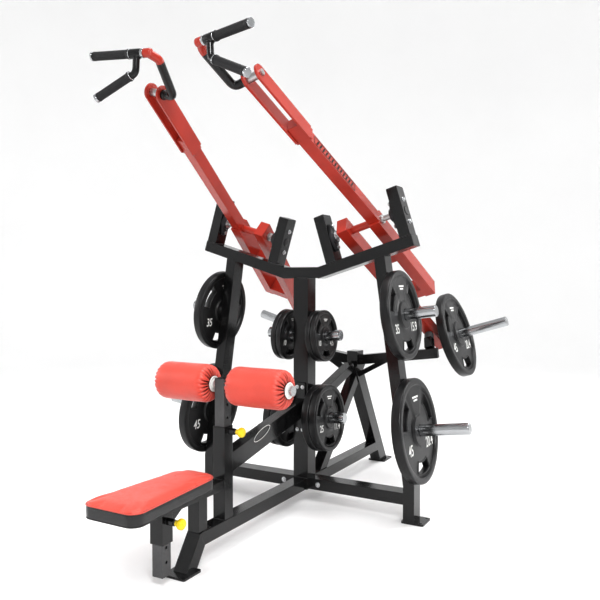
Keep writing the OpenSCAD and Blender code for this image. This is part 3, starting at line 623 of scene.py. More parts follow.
def plate_at(name, weight, body, middle, axis, marks=(1, -1), spin=0.0):
    """One plate with its weight in white figures on each marked face."""
    rot = basis(axis) @ Matrix.Rotation(spin, 3, "X")
    radius, thick = PLATE_SIZES[weight]
    middle = Vector(middle)
    vertices, faces = PLATE_MESH[weight]
    obj = piece(name, [middle + rot @ Vector(v) for v in vertices], faces, body, "plate_rubber", 32)
    marks_mesh = Mesh()
    level = thick / 2 - thick * DISH + MARK_LIFT
    size = radius * 0.23
    for face in marks:
        for words, side in ((weight, -1), (KILOS[weight], 1)):
            place = Vector((face * level, 0, 0))
            right = Vector((0, face, 0))
            up = Vector((0, 0, 1))
            spot = place + right * (side * radius * 0.50) + up * (-radius * 0.30)
            tv, tf = TEXT[words]
            base = len(marks_mesh.v)
            for v in tv:
                p = spot + right * (v[0] * size) + up * (v[1] * size * 1.25) + Vector((face * v[2], 0, 0))
                marks_mesh.v.append(tuple(middle + rot @ p))
            marks_mesh.f += [tuple(base + k for k in f) for f in tf]
        # two plain bars on the bridge between the upper windows
        top = thick / 2 - thick * DISH * (1 - BRIDGE) + MARK_LIFT
        for z, wide in ((0.64, 0.15), (0.58, 0.10)):
            corners = [(-wide, z - 0.018), (wide, z - 0.018), (wide, z + 0.018), (-wide, z + 0.018)]
            start = len(marks_mesh.v)
            marks_mesh.v += [tuple(middle + rot @ Vector((face * top, face * x * radius, q * radius)))
                             for x, q in corners]
            marks_mesh.f.append(tuple(range(start, start + 4)))
    marks_mesh.make(name + "_figures", body, "plate_rubber", smooth=0, material="mark_white")
    return obj


def outward(slide, side):
    axis = joint_axis(slide)
    return axis if axis.x * side > 0 else -axis


axis = outward("lever_plate_slide_right", 1)
plate = plate_at("lever_plate", "45", "lever_plate_right_body", centre("lever_plate_right"), axis)
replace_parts(plate, "lever_plate_right")
for side, sign in SIDES:
    for level, weight in (("upper", "35"), ("lower", "45")):
        node = f"{level}_plate_{side}"
        axis = outward(f"{level}_plate_slide_{side}", sign)
        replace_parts(plate_at(node, weight, node + "_body", centre(node), axis), node)
    for level, weight in (("upper", "10"), ("lower", "25")):
        node = f"{level}_peg_plates_{side}"
        axis = outward(f"{level}_peg_slide_{side}", sign)
        step = axis * (PLATE_SIZES[weight][1] + 0.0004) / 2
        middle = centre(node)
        body = node + "_body"
        twist = rng.uniform(-0.25, 0.25), rng.uniform(-0.1, 0.1)
        inner = plate_at(f"{level}_peg_{side}_inner", weight, body, middle - step, axis, (-1,), twist[0])
        outer = plate_at(f"{level}_peg_{side}_outer", weight, body, middle + step, axis, (1,), twist[1])
        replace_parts(outer, node)
        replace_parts(inner, node)


# ---- seat

def seat_outline(inset, count):
    """Outline of the seat from its CAD box: wider at the front, with rounder corners at the back."""
    low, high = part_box("seat_cushion")
    front, back = low.y + inset, high.y - inset
    half_front = (high.x - low.x) / 2 - inset
    half_back = 0.090 - inset
    rf, rb = 0.040, 0.062
    circles = [(half_front - rf, front + rf, rf), (half_back - rb, back - rb, rb)]
    points = []

    def arc(cx, cy, r, start, stop, steps=14):
        for k in range(steps + 1):
            a = math.radians(start + (stop - start) * k / steps)
            points.append((cx + r * math.cos(a), cy + r * math.sin(a)))

    lean = math.degrees(math.atan2(circles[0][0] + rf - circles[1][0] - rb, back - front - rf - rb))
    arc(circles[0][0], circles[0][1], rf, -90, lean)
    arc(circles[1][0], circles[1][1], rb, lean, 90)
    arc(-circles[1][0], circles[1][1], rb, 90, 180 - lean)
    arc(-circles[0][0], circles[0][1], rf, 180 - lean, 270)
    clean = spaced([Vector(p) for p in points], 1e-4)
    if (clean[-1] - clean[0]).length < 1e-4:
        clean.pop()
    return even_loop(clean, count)


def seat_block(inset, z0, z1, edge):
    """Closed block of the seat's outline with a rounded top edge."""
    m = Mesh()
    rows = []
    count = 120
    levels = [(inset + 0.003, z0), (inset, z0 + 0.004), (inset, (z0 + z1) / 2)]
    for k in range(6):
        a = math.radians(18 * k)
        levels.append((inset + edge * (1 - math.cos(a)), z1 - edge + edge * math.sin(a)))
    for off, z in levels:
        rows.append([(p.x, p.y, z) for p in seat_outline(off, count)])
    last = seat_outline(inset + edge, count)
    mid = sum(last, Vector((0, 0))) / count
    for keep in (0.93, 0.8, 0.62, 0.4, 0.18):
        rows.append([(mid.x + (p.x - mid.x) * keep, mid.y + (p.y - mid.y) * keep, z1 + 0.0012 * (1 - keep))
                     for p in last])
    base = m.grid(rows)
    m.fan(base, count, True)
    m.fan(base + (len(rows) - 1) * count, count)
    return m


def settle(obj, voxel, pressure, cap, pinned, frames=20):
    """Swells a closed skin with Cloth pressure and applies the result to the mesh."""
    remesh = obj.modifiers.new("remesh", "REMESH")
    remesh.mode = "VOXEL"
    remesh.voxel_size = voxel
    mesh = evaluated(obj)
    obj.modifiers.clear()
    old = obj.data
    obj.data = mesh
    mesh.materials.clear()
    for material in old.materials:
        mesh.materials.append(material)
    rest = np.array([v.co for v in mesh.vertices], float)
    group = obj.vertex_groups.new(name="pin")
    for v in mesh.vertices:
        group.add([v.index], pinned(v.co), "REPLACE")
    cloth = obj.modifiers.new("cloth", "CLOTH")
    settings = {
        "quality": 6, "mass": 0.25, "tension_stiffness": 25, "compression_stiffness": 25,
        "shear_stiffness": 12, "bending_stiffness": 1.2, "use_pressure": True,
        "uniform_pressure_force": pressure, "vertex_group_mass": "pin"}
    for key, value in settings.items():
        setattr(cloth.settings, key, value)
    cloth.settings.effector_weights.gravity = 0
    cloth.collision_settings.use_collision = False
    cloth.collision_settings.use_self_collision = False
    cloth.point_cache.frame_start = 1
    cloth.point_cache.frame_end = frames
    for f in range(1, frames + 1):
        scene.frame_set(f)
    graph = bpy.context.evaluated_depsgraph_get()
    moved = np.array([v.co for v in obj.evaluated_get(graph).data.vertices], float)
    obj.modifiers.clear()
    obj.vertex_groups.clear()
    delta = moved - rest
    length = np.linalg.norm(delta, axis=1)
    # soft limit, so that the skin doesn't show a flat step at the cap
    scale = np.where(length > 0, np.tanh(length / cap) * cap / np.maximum(length, 1e-9), 1)
    obj.data.vertices.foreach_set("co", (rest + delta * scale[:, None]).astype(np.float32).ravel())
    scene.frame_set(1)
    sub = obj.modifiers.new("sub", "SUBSURF")
    sub.levels = 1
    sub.render_levels = 1
    mesh = evaluated(obj)
    obj.modifiers.clear()
    obj.data = mesh
    mesh.polygons.foreach_set("use_smooth", [True] * len(mesh.polygons))
    mesh.update()


low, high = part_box("seat_cushion")
board_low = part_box("seat_board")[0].z
SEAM_Z = high.z - 0.0135        # the vinyl is red above it and black below


def held(co):
    """Firm at the board, half held up to the seam, free above it."""
    if co.z < board_low + 0.016:
        return 1.0
    return 0.55 if co.z < SEAM_Z - 0.004 else 0.0


MATERIALS["seat_vinyl"] = vinyl("seat_vinyl", (0.66, 0.09, 0.062), 0.34, SEAM_Z)
block = seat_block(0.003, board_low + 0.0012, high.z - 0.005, 0.0085)
cushion = block.make("seat_pad", "seat", "red_vinyl", material="seat_vinyl", smooth=0)
settle(cushion, 0.0055, 4.0, 0.008, held)
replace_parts(cushion, "seat_cushion")

WELT = 0.0021                   # radius of the cord in the seam
welt = Mesh()
welt_points = [(p.x, p.y, SEAM_Z) for p in seat_outline(0.0045, 160)]
rows = []
for k, p in enumerate(welt_points):
    a = Vector(welt_points[k - 1])
    b = Vector(welt_points[(k + 1) % len(welt_points)])
    t = (b - a).normalized()
    out = Vector((t.y, -t.x, 0))
    rows.append([Vector(p) + WELT * (math.cos(q) * out + math.sin(q) * Vector((0, 0, 1))) + out * 0.0016
                 for q in turns(10)])
welt.grid(rows, close_rows=True)
welt.make("seat_welt", "seat", "red_vinyl")

# sewn line just under the welt: short stitches all round
stitches = Mesh()
around = seat_outline(-0.0012, 300)
for k in range(0, 300, 2):
    a, b = around[k], around[(k + 1) % 300]
    gap = (b - a) * 0.18
    z = SEAM_Z - 0.0075
    stitches.sweep([(a.x + gap.x, a.y + gap.y, z), (b.x - gap.x, b.y - gap.y, z)], 0.0005, 5)
stitches.make("seat_stitches", "seat", "red_vinyl", material="cap_plastic")

# underside: stapled edge of the black cover, gathered over the board
gather = Mesh()
rows = []
for inset, rise in ((0.004, 0.0035), (0.003, 0.0008), (0.010, -0.0012), (0.022, -0.0010), (0.030, 0.0005)):
    z = board_low + rise
    ring = []
    for k, p in enumerate(seat_outline(inset, 240)):
        ripple = 0.0012 * math.sin(k * 1.7) * math.sin(k * 0.37 + 1) if 0.005 < inset < 0.028 else 0
        ring.append((p.x, p.y, z - abs(ripple)))
    rows.append(ring)
gather.grid(rows, flip=True)
gather.make("seat_cover_edge", "seat", "seat_base", smooth=0, material="cap_plastic")
staples = Mesh()
around = seat_outline(0.018, 54)
z = board_low - 0.0022
for k, p in enumerate(around):
    t = (around[(k + 1) % 54] - p).normalized() * 0.0055
    staples.sweep([(p.x - t.x, p.y - t.y, z), (p.x + t.x, p.y + t.y, z)], 0.0005, 5)
staples.make("seat_staples", "seat", "seat_base", material="zinc_bolts")


# ---- thigh rollers

def roller(side, sign):
    """Foam roller in a vinyl sleeve whose ends are gathered into pleats round the hub."""
    low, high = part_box("roller_" + side)
    inner, outer = (low.x, high.x) if sign > 0 else (-high.x, -low.x)
    cy, cz = (low.y + high.y) / 2, (low.z + high.z) / 2
    radius = (high.z - low.z) / 2
    seg = 264
    count = 23
    pleats = []
    for _ in range(2):
        phases = sorted((k + rng.uniform(-0.22, 0.22)) / count for k in range(count))
        pleats.append((phases, [rng.uniform(0.65, 1.0) for _ in range(count)]))

    def fold(end, a):
        """0 on a ridge, 1 in the fold nearest to the angle."""
        phases, depths = pleats[end]
        turn = (a / (2 * math.pi)) % 1
        best, depth = 1.0, 1.0
        for p, d in zip(phases, depths):
            gap = abs((turn - p + 0.5) % 1 - 0.5) * len(phases)
            if gap < best:
                best, depth = gap, d
        return depth * math.exp(-(best / 0.2) ** 2)

    stations = []
    # (x from the end, radius, how much the pleats cut in along X, and along the radius)
    ends = [(0.0065, 0.0225, 0.2, 0.0), (0.0035, 0.0265, 0.75, 0.0), (0.0018, 0.033, 1.0, 0.0),
            (0.0012, 0.041, 1.0, 0.0), (0.0022, 0.049, 0.95, 0.1), (0.0050, 0.0565, 0.85, 0.35),
            (0.0092, 0.0630, 0.62, 0.6), (0.0150, 0.0685, 0.35, 0.6), (0.0215, 0.0722, 0.12, 0.4),
            (0.029, 0.0740, 0.0, 0.16), (0.040, 0.0746, 0.0, 0.03)]
    for x, r, px, pr in ends:
        stations.append((inner + x, r, px, pr, 0))
    length = outer - inner
    for k in range(1, 14):
        t = k / 14
        x = inner + 0.040 + (length - 0.080) * t
        stations.append((x, 0.0747 + 0.0003 * math.sin(math.pi * t), 0, 0, 0 if t < 0.5 else 1))
    for x, r, px, pr in reversed(ends):
        stations.append((outer - x, r, px, pr, 1))
    swell = [rng.uniform(0, 6.28) for _ in range(6)]
    rows = []
    scale = radius / 0.075       # the stations are drawn for a roller of 75 mm radius
    for x, r, px, pr, end in stations:
        row = []
        into = 1 if end == 0 else -1
        for a in turns(seg):
            f = fold(end, a) if px or pr else 0.0
            rr = r * scale - 0.0042 * pr * f
            if not px and not pr:
                rr -= 0.0004 * (1 + math.sin(3 * a + swell[0] + 40 * x) * math.sin(21 * x + swell[1]))
            xx = x + into * 0.0115 * px * f
            twist = 0.05 * px * math.sin(5 * a + swell[2])
            row.append((xx, cy + rr * math.cos(a + twist), cz + rr * math.sin(a + twist)))
        rows.append(row)
    m = Mesh()
    # back through the middle, so that the skin is a closed ring about the core tube
    core = 0.0212
    for x in (outer - 0.012, inner + 0.012):
        rows.append([(x, cy + core * math.cos(a), cz + core * math.sin(a)) for a in turns(seg)])
    m.grid(rows, close_rows=True)
    obj = m.make("roller_skin_" + side, "thigh_roller_" + side, "red_vinyl", smooth=0, mirror=sign < 0)
    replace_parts(obj, "roller_" + side)

    hub = Mesh()
    hub_low, hub_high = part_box("roller_hubs_" + side)
    h_in, h_out = (hub_low.x, hub_high.x) if sign > 0 else (-hub_high.x, -hub_low.x)
    bore = 0.01215
    profile = [(0.007, bore), (0.0, bore), (0.0, 0.0185), (0.0016, 0.020), (0.0016, 0.0255), (0.0006, 0.027),
               (0.0006, 0.0295), (0.0022, 0.031), (0.0046, 0.0305), (0.0048, 0.024), (0.0065, 0.0206),
               (0.016, 0.0203)]
    for x0, way in ((h_in, 1), (h_out, -1)):
        hub.lathe((x0, cy, cz), UNTURNED, [(way * x, r) for x, r in profile], 64)
    # the fans that close each lathe would cover the bore, so they are taken out
    hub.f = [f for f in hub.f if len(f) == 4]
    run = h_out - h_in - 0.014
    tube = [(0, 0.0203), (run, 0.0203), (run, bore), (0, bore), (0, 0.0203)]
    hub.lathe((h_in + 0.007, cy, cz), UNTURNED, tube, 48)
    obj = hub.make("roller_hub_" + side, "thigh_roller_" + side, "white_hub", mirror=sign < 0)
    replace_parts(obj, "roller_hubs_" + side)


for side, sign in SIDES:
    roller(side, sign)


# ---- handles

def handle_basis():
    """The right handle's own axes, from its swivel joint: X outward along the grip, Z up."""
    x = outward("handle_swivel_right", 1)
    yaw = math.atan2(x.y, x.x)
    y = Vector((-math.sin(yaw), math.cos(yaw), 0))
    return Matrix((x, y, x.cross(y))).transposed()


HUB = joint_pos("handle_swivel_right")
TURN = handle_basis()


def in_handle(p):
    return HUB + TURN @ Vector(p)


GRIP_START = 0.075              # along the shaft from the hub
GRIP_LENGTH = 0.150
SLOPE = math.radians(28)        # of the second grip, below the first
B_DIR = Vector((math.cos(SLOPE), 0, -math.sin(SLOPE)))
B_START = Vector((0.066, 0, -0.076))


def grip_shape(m, origin, rot, inner, length, r):
    """Rubber sleeve with flared ends and fine rings."""
    profile = [(0.0, inner), (0.0, r + 0.0012), (0.0012, r + 0.0022), (0.005, r + 0.0022), (0.008, r + 0.0002)]
    x = 0.0115
    while x < length - 0.013:
        profile += [(x, r), (x + 0.0009, r - 0.0007), (x + 0.0018, r)]
        x += 0.0052
    profile += [(length - 0.008, r), (length - 0.0045, r + 0.0006), (length - 0.001, r + 0.0006),
                (length, r - 0.0006), (length, inner), (0.0, inner)]
    m.lathe(origin, rot, profile, 40)


for side, sign in SIDES:
    flip = sign < 0
    # arm from the fork to the grip shaft: one bent tube, red above its upper bend
    lever_axis = outward("lever_pull_right", 1)
    pin = joint_pos("handle_arm_tilt_right")
    foot = pin - lever_axis * 0.0334
    elbow = pin - lever_axis * 0.086
    arm_top = Vector((HUB.x - 0.017, HUB.y + 0.038, HUB.z - 0.015))
    path = rounded_path([foot, elbow, arm_top, HUB + (HUB - arm_top).normalized() * 0.001], 0.034, 14)
    split = min(range(len(path)), key=lambda k: (path[k] - elbow.lerp(arm_top, 0.80)).length)
    arm = Mesh()
    arm.sweep(path[:split + 1], 0.0160, 32)
    # short boss on the fork pin and a pressed end plate
    boss = closed([(0.0, 0.0195), (0.010, 0.0195), (0.013, 0.0160)], 0.014)
    arm.lathe(foot, basis(-lever_axis), fillet(boss, 0.0015), 40)
    obj = arm.make("handle_tube_" + side, "handle_arm_" + side, "handle_black", mirror=flip)
    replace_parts(obj, "handle_arm_" + side)
    neck = Mesh()
    neck.sweep(path[split:], 0.0158, 32)
    socket = closed([(0.0, 0.0125), (0.004, 0.0165), (0.030, 0.0165), (0.032, 0.0145)])
    neck.lathe(in_handle((-0.016, 0, 0)), TURN, fillet(socket, 0.002), 40)
    neck.make("handle_neck_" + side, "handle_arm_" + side, "red_lever", mirror=flip)

    shaft = Mesh()
    spindle = closed([(0.0, 0.0170), (0.0098, 0.0170), (0.0098, 0.0110), (0.2128, 0.0110), (0.2128, 0.0164),
                      (0.2196, 0.0164)])
    shaft.lathe(in_handle((0.0162, 0, 0)), TURN, fillet(spindle, 0.0012), 48)
    obj = shaft.make("handle_axle_" + side, "handle_arm_" + side, "chrome_horn", mirror=flip)
    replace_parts(obj, "handle_shaft_" + side)

    body = "handle_" + side
    tee = Mesh()
    inner = 0.0112
    profile = [(0.0, inner), (0.0, 0.0172), (0.0432, 0.0172), (0.0432, 0.0136), (0.2008, 0.0136),
               (0.2008, inner), (0.0, inner)]
    tee.lathe(in_handle((0.0268, 0, 0)), TURN, fillet(profile, 0.0015), 48)
    stem = [(0.047, 0, -0.0150), (0.047, 0, -0.0700), B_START + B_DIR * 0.02, B_START + B_DIR * 0.158]
    tube = rounded_path(stem, 0.030, 14)
    tee.sweep([in_handle(p) for p in tube], 0.0125, 28)
    # weld bead where the stem meets the sleeve
    bead = []
    for k in range(37):
        a = 2 * math.pi * k / 36
        y, x = 0.0128 * math.sin(a), 0.047 + 0.0128 * math.cos(a)
        bead.append(in_handle((x, y, -math.sqrt(max(0.0172 ** 2 - y * y, 0)) - 0.0006)))
    tee.sweep(bead, [0.0022 + 0.0004 * math.sin(k * 2.3) for k in range(37)], 8)
    obj = tee.make("handle_tee_" + side, body, "handle_black", mirror=flip)
    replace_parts(obj, "swivel_handle_" + side)

    rings = Mesh()
    rings.lathe(in_handle((0.0712, 0, 0)), TURN, fillet(sleeve(0.0034, 0.0137, 0.0182), 0.0008), 44)
    rot_b = TURN @ basis(B_DIR, Vector((0, 0, 1)))
    rings.lathe(in_handle(B_START), rot_b, fillet(sleeve(0.0036, 0.0126, 0.0172), 0.0008), 44)
    stop = [(0.0, 0.0126), (0.0, 0.0150), (0.0035, 0.0164), (0.0098, 0.0164), (0.0105, 0.0145), (0.0105, TIP)]
    rings.lathe(in_handle(B_START + B_DIR * 0.1545), rot_b, fillet(stop, 0.0012), 44)
    rings.make("handle_rings_" + side, body, "chrome_horn", mirror=flip)

    grips = Mesh()
    grip_shape(grips, in_handle((GRIP_START, 0, 0)), TURN, 0.0137, GRIP_LENGTH, 0.0158)
    grip_shape(grips, in_handle(B_START + B_DIR * 0.004), rot_b, 0.0126, GRIP_LENGTH, 0.0158)
    obj = grips.make("grip_sleeves_" + side, body, "grip_rubber", mirror=flip)
    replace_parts(obj, "grips_" + side)


# ---- pop-pins

def pop_pin(node, body):
    """Yellow mushroom knob on a steel plunger."""
    low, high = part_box(node)
    cy, cz = (low.y + high.y) / 2, (low.z + high.z) / 2
    x0 = low.x
    knob_x = high.x - 0.035
    steel = Mesh()
    profile = closed([(0.0, 0.0036), (0.003, 0.0050), (knob_x - x0 + 0.004, 0.0050)])
    steel.lathe((x0, cy, cz), UNTURNED, profile, 28)
    steel.make(node + "_plunger", body, "yellow_knob", material="steel_pins")
    knob = Mesh()
    profile = closed([(0.0, 0.0092), (0.001, 0.0105), (0.007, 0.0105), (0.009, 0.0118), (0.013, 0.0158),
                      (0.0165, 0.0184), (0.019, 0.0189), (0.026, 0.0189), (0.0285, 0.0180),
                      (0.0322, 0.0148), (0.0342, 0.0100), (0.0350, 0.0045)])

    def lobes(a):
        return 1 + 0.012 * math.cos(10 * a)

    knob.lathe((knob_x, cy, cz), UNTURNED, profile, 80, lobes)
    obj = knob.make(node + "_knob", body, "yellow_knob", smooth=50)
    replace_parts(obj, node)


pop_pin("seat_pin", "seat_pop_pin")
pop_pin("thigh_pin", "thigh_pop_pin")

# ---- bolts and bearings

def hex_shape(m, origin, rot, radius, height, turn=0.0):
    """Hexagon with a chamfered face; rot's X points out of the part."""
    spin = rot @ Matrix.Rotation(turn, 3, "X")
    m.lathe(origin, spin, [(0.0, radius), (height * 0.8, radius), (height, radius * 0.86), (height, TIP)], 6)


def bolt(m, origin, rot, radius, height):
    """Washer, hexagon head and a small dome, in the place of the CAD's head."""
    washer = closed([(0.0, radius * 1.35), (0.0022, radius * 1.35)], 0.0025)
    m.lathe(origin, rot, fillet(washer, 0.0006), 32)
    head = Vector(origin) + rot @ Vector((0.0024, 0, 0))
    hex_shape(m, head, rot, radius * 1.02, height, rng.uniform(0, 1))
    dome = [(0.0, radius * 0.66), (height * 0.12, radius * 0.56), (height * 0.16, radius * 0.3),
            (height * 0.17, TIP)]
    m.lathe(Vector(origin) + rot @ Vector((0.0024 + height * 0.95, 0, 0)), rot, dome, 24)


PIVOT = joint_pos("lever_pull_right")
WING = basis(outward("lever_pull_right", 1))   # X along the wing, Z square to it
BOLTS = (-0.05, 0.05)                          # bearing bolts, above and below the pivot
FACE_OUT, FACE_IN = 0.220, -0.198              # outer faces of the bearing posts from the pivot point
INNER_FACE, OUTER_FACE = -0.148, 0.170         # faces that carry the bearings
BACK = Matrix(((-1, 0, 0), (0, 1, 0), (0, 0, -1)))


def at_wing(p):
    return PIVOT + WING @ Vector(p)


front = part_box("centre_column")[0].y
beam_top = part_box("cross_beams")[1].z
for side, sign in SIDES:
    m = Mesh()
    for z in BOLTS:
        bolt(m, at_wing((FACE_OUT, 0, z)), WING, 0.008, 0.006)
        bolt(m, at_wing((FACE_IN, 0, z)), WING @ BACK, 0.008, 0.006)
        hex_shape(m, at_wing((INNER_FACE + 0.012, 0, z)), WING, 0.0092, 0.008, rng.uniform(0, 1))
        hex_shape(m, at_wing((OUTER_FACE - 0.012, 0, z)), WING @ BACK, 0.0092, 0.008, rng.uniform(0, 1))
    toward = basis((0, -1, 0))
    bolt(m, (0.090, front, beam_top - 0.025), toward, 0.009, 0.0068)
    for z in (0.355, 0.552):
        bolt(m, (0.014, front - 0.008, z), toward, 0.007, 0.0052)
    obj = m.make("bolts_" + side, "frame", "zinc_bolts", mirror=sign < 0, smooth=30)
    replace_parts(obj, "frame_bolts")


FLANGE_SEG = 96


def flange_outline(grow):
    """Outline of a two-bolt flange: the hull of a large middle circle and two small end circles."""
    points = []
    for cy, cz, r in ((0, 0, 0.034), (0, 0.05, 0.015), (0, -0.05, 0.015)):
        for a in turns(72):
            points.append((cy + (r + grow) * math.cos(a), cz + (r + grow) * math.sin(a)))
    points.sort()

    def turn(a, b, c):
        return (b[0] - a[0]) * (c[1] - a[1]) - (b[1] - a[1]) * (c[0] - a[0])

    def half(seq):
        out = []
        for p in seq:
            while len(out) > 1 and turn(out[-2], out[-1], p) <= 0:
                out.pop()
            out.append(p)
        return out

    hull = half(points)[:-1] + half(points[::-1])[:-1]
    return even_loop([Vector(p) for p in hull], FLANGE_SEG)


for side, sign in SIDES:
    m = Mesh()
    steel = Mesh()
    for place, rot in ((at_wing((INNER_FACE, 0, 0)), WING), (at_wing((OUTER_FACE, 0, 0)), WING @ BACK)):
        rows = []
        for x, grow in ((0.0, 0.0), (0.009, 0.0), (0.0108, -0.0008), (0.012, -0.003)):
            rows.append([place + rot @ Vector((x, p.x, p.y)) for p in flange_outline(grow)])
        base = m.grid(rows)
        m.fan(base, FLANGE_SEG, True)
        m.fan(base + 3 * FLANGE_SEG, FLANGE_SEG)
        cup = [(0.0115, 0.0318), (0.013, 0.0305), (0.018, 0.0298), (0.0205, 0.028), (0.021, 0.0245),
               (0.0195, 0.0235), (0.0195, TIP)]
        m.lathe(place, rot, cup, 56)
        for z in BOLTS:
            seat = [(0.011, 0.0128), (0.0125, 0.0124), (0.0126, TIP)]
            m.lathe(place + rot @ Vector((0.0, 0, z)), rot, seat, 32)
        # grease nipple on the shoulder
        up = (rot @ Vector((0.6, 0, 0.8))).normalized()
        nipple = [(0.0, 0.0034), (0.003, 0.0034), (0.003, 0.0022), (0.0062, 0.0022), (0.0072, 0.003),
                  (0.0084, 0.0028), (0.0092, 0.0016), (0.0092, TIP)]
        steel.lathe(place + rot @ Vector((0.014, 0, 0.027)), basis(up, rot @ Vector((0, 1, 0))), nipple, 16)
        race = [(0.019, 0.0232), (0.0205, 0.0232), (0.0205, 0.0190), (0.0258, 0.0190), (0.026, 0.0125)]
        steel.lathe(place, rot, fillet(race, 0.0006), 48)
    obj = m.make("bearings_" + side, "frame", "cast_housing", mirror=sign < 0)
    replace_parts(obj, "bearing_housings")
    steel.make("bearing_inserts_" + side, "frame", "cast_housing", material="zinc_bolts", mirror=sign < 0)


# ---- welds

def weld_loop(m, corners, radius=0.003, step=0.0022):
    """Rippled bead along a line of points."""
    points = [Vector(c) for c in corners]
    dense = []
    for a, b in zip(points, points[1:]):
        count = max(2, int((b - a).length / step))
        dense += [a.lerp(b, k / count) for k in range(count)]
    dense.append(points[-1])
    radii = [radius * (0.82 + 0.18 * math.sin(k * 1.35) + rng.uniform(-0.05, 0.05)) for k in range(len(dense))]
    m.sweep(dense, radii, 7)


def weld_rect(m, middle, rot, wide, deep, radius=0.003):
    """Bead round a rectangular tube that stands on a surface: rot's Z is the tube's axis."""
    r = 0.004
    corners = []
    for sx, sy in ((1, 1), (-1, 1), (-1, -1), (1, -1)):
        cx, cy = sx * (wide / 2 - r), sy * (deep / 2 - r)
        ends = [(cx + sx * r, cy), (cx, cy + sy * r)]
        corners += ends if sx * sy > 0 else ends[::-1]
    corners.append(corners[0])
    weld_loop(m, [Vector(middle) + rot @ Vector((x, y, 0)) for x, y in corners], radius)


MIRROR = Matrix(((-1, 0, 0), (0, 1, 0), (0, 0, 1)))
column_low, column_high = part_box("centre_column")
weld = Mesh()
for u in (FACE_IN + 0.025, FACE_OUT - 0.025):
    q = at_wing((u, 0, -0.111))
    weld_rect(weld, q, WING, 0.050, 0.075)
    weld_rect(weld, MIRROR @ q, MIRROR @ WING, 0.050, 0.075)
for z in (column_high.z, column_low.z):
    weld_rect(weld, (0, PIVOT.y, z), UNTURNED, 0.075, 0.075)
low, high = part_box("thigh_sleeve")
weld_rect(weld, (0, (low.y + high.y) / 2, low.z), UNTURNED, 0.054, 0.054)
low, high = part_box("seat_support")
for y, z in ((low.y, high.z - 0.018), (high.y, high.z - 0.018)):
    weld_rect(weld, (0, y, z), basis((1, 0, 0), (0, 1, 0)), 0.050, 0.036)
weld_rect(weld, (0, low.y + 0.198, low.z), UNTURNED, 0.050, 0.050)
weld.make("frame_welds", "frame", "black_frame", smooth=0, material="weld_black")


# ---- plain marks

def lever_point(u, y, w):
    """A point on the right lever's upper beam: u along the pivot axis, y along the beam, w square to it."""
    slope = math.radians(32)
    return at_wing((u, y * math.cos(slope) + w * math.sin(slope), -y * math.sin(slope) + w * math.cos(slope)))


def strip(m, a, b, wide, across):
    """Flat strip from a to b in the plane that holds across."""
    a, b = Vector(a), Vector(b)
    side = Vector(across).normalized() * wide / 2
    start = len(m.v)
    m.v += [tuple(a - side), tuple(b - side), tuple(b + side), tuple(a + side)]
    m.f.append((start, start + 1, start + 2, start + 3))


# oval outline on the front brace
brace = np.array([tuple(v.co) for v in frame["nodes"]["front_brace"].data.vertices])
brace_mid = brace.mean(axis=0)
_, _, turned = np.linalg.svd((brace - brace_mid)[:, 1:])
run = Vector((0, float(turned[0][0]), float(turned[0][1])))
run = run if run.y > 0 else -run
rise = Vector((1, 0, 0)).cross(run)
low, high = brace.min(axis=0), brace.max(axis=0)
middle = Vector((0, float(low[1] + high[1]) / 2, float(low[2] + high[2]) / 2)) - run * 0.085
oval = Mesh()
for face in (1, -1):
    off = Vector((face * (float(high[0]) + 0.0003), 0, 0))
    rows = []
    for wide in (0.0034, 0.0):
        rows.append([middle + off + run * ((0.062 + wide) * math.cos(a))
                     + rise * ((0.0165 + wide) * math.sin(a)) for a in turns(64)])
    oval.grid(rows)
oval.make("brace_oval", "frame", "black_frame", smooth=0, material="mark_white")

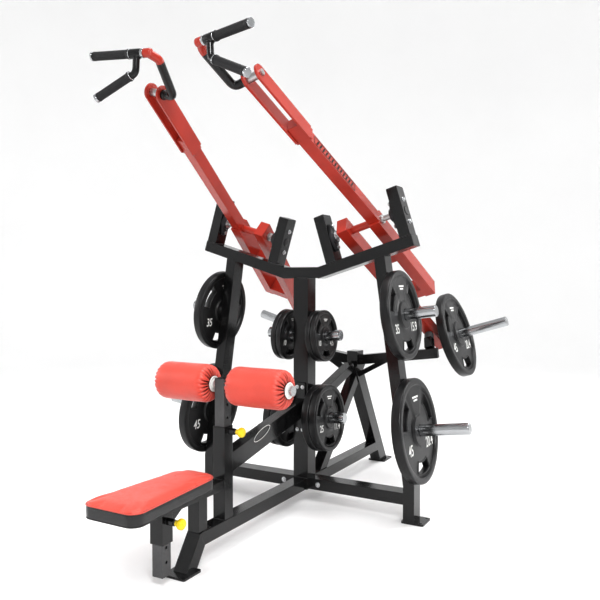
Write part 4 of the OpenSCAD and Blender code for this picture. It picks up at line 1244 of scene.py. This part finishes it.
# dust caps over the open ends of the pivot bores
CAP = fillet(closed([(0.0, 0.0195), (0.0020, 0.0195), (0.0030, 0.0150)], 0.0034), 0.0007)
for side, sign in SIDES:
    m = Mesh()
    for place, rot in ((at_wing((FACE_OUT, 0, 0)), WING), (at_wing((FACE_IN, 0, 0)), WING @ BACK)):
        m.lathe(place, rot, CAP, 48)
    m.make("dust_caps_" + side, "frame", "cap_plastic", mirror=sign < 0)

# plain frame and slanted bars on each lever's outer face
for side, sign in SIDES:
    m = Mesh()
    u = 0.1015
    across = lever_point(u, 0, 1) - lever_point(u, 0, 0)
    along = lever_point(u, 1, 0) - lever_point(u, 0, 0)
    y0, y1, w0, w1 = -0.545, -0.235, -0.018, 0.018
    for w in (w0, w1):
        strip(m, lever_point(u, y0, w), lever_point(u, y1, w), 0.0032, across)
    for y in (y0, y1):
        strip(m, lever_point(u, y, w0), lever_point(u, y, w1), 0.0032, along)
    y = y0 + 0.018
    while y < y1 - 0.02:
        foot = lever_point(u + 0.0001, y, w0 + 0.006)
        strip(m, foot, lever_point(u + 0.0001, y + 0.012, w1 - 0.006), 0.009, along)
        y += 0.022
    m.make("lever_stripe_" + side, "lever_" + side, "red_lever", smooth=0, mirror=sign < 0, material="mark_dark")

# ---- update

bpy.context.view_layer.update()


# ---- floor

def stage_sweep():
    """Pale floor that curves up into a backdrop all round."""
    m = Mesh()
    rows = []
    seg = 96
    flat_to, bend = 5.5, 3.0
    profile = [(0.02, 0), (1.5, 0), (3.0, 0), (flat_to, 0)]
    for degrees in range(10, 91, 10):
        a = math.radians(degrees)
        profile.append((flat_to + bend * math.sin(a), bend - bend * math.cos(a)))
    profile.append((8.5, 7.0))
    for r, z in profile:
        rows.append([(r * math.cos(a), r * math.sin(a), z - 0.0002) for a in turns(seg)])
    base = m.grid(rows, flip=True)
    m.fan(base, seg)
    mesh = bpy.data.meshes.new("floor")
    mesh.from_pydata(m.v, [], m.f)
    mesh.polygons.foreach_set("use_smooth", [True] * len(mesh.polygons))
    n = Nodes("pale_floor")
    cloud = n.noise(0.8, 3, 0.5)
    color = n.ramp(cloud, [(0.3, (0.93, 0.93, 0.93)), (0.7, (0.95, 0.95, 0.95))])
    n.surface(color, cloud, 0.75, 0.85)
    mesh.materials.append(n.material)
    floor = bpy.data.objects.new("floor", mesh)
    scene.collection.objects.link(floor)


stage_sweep()
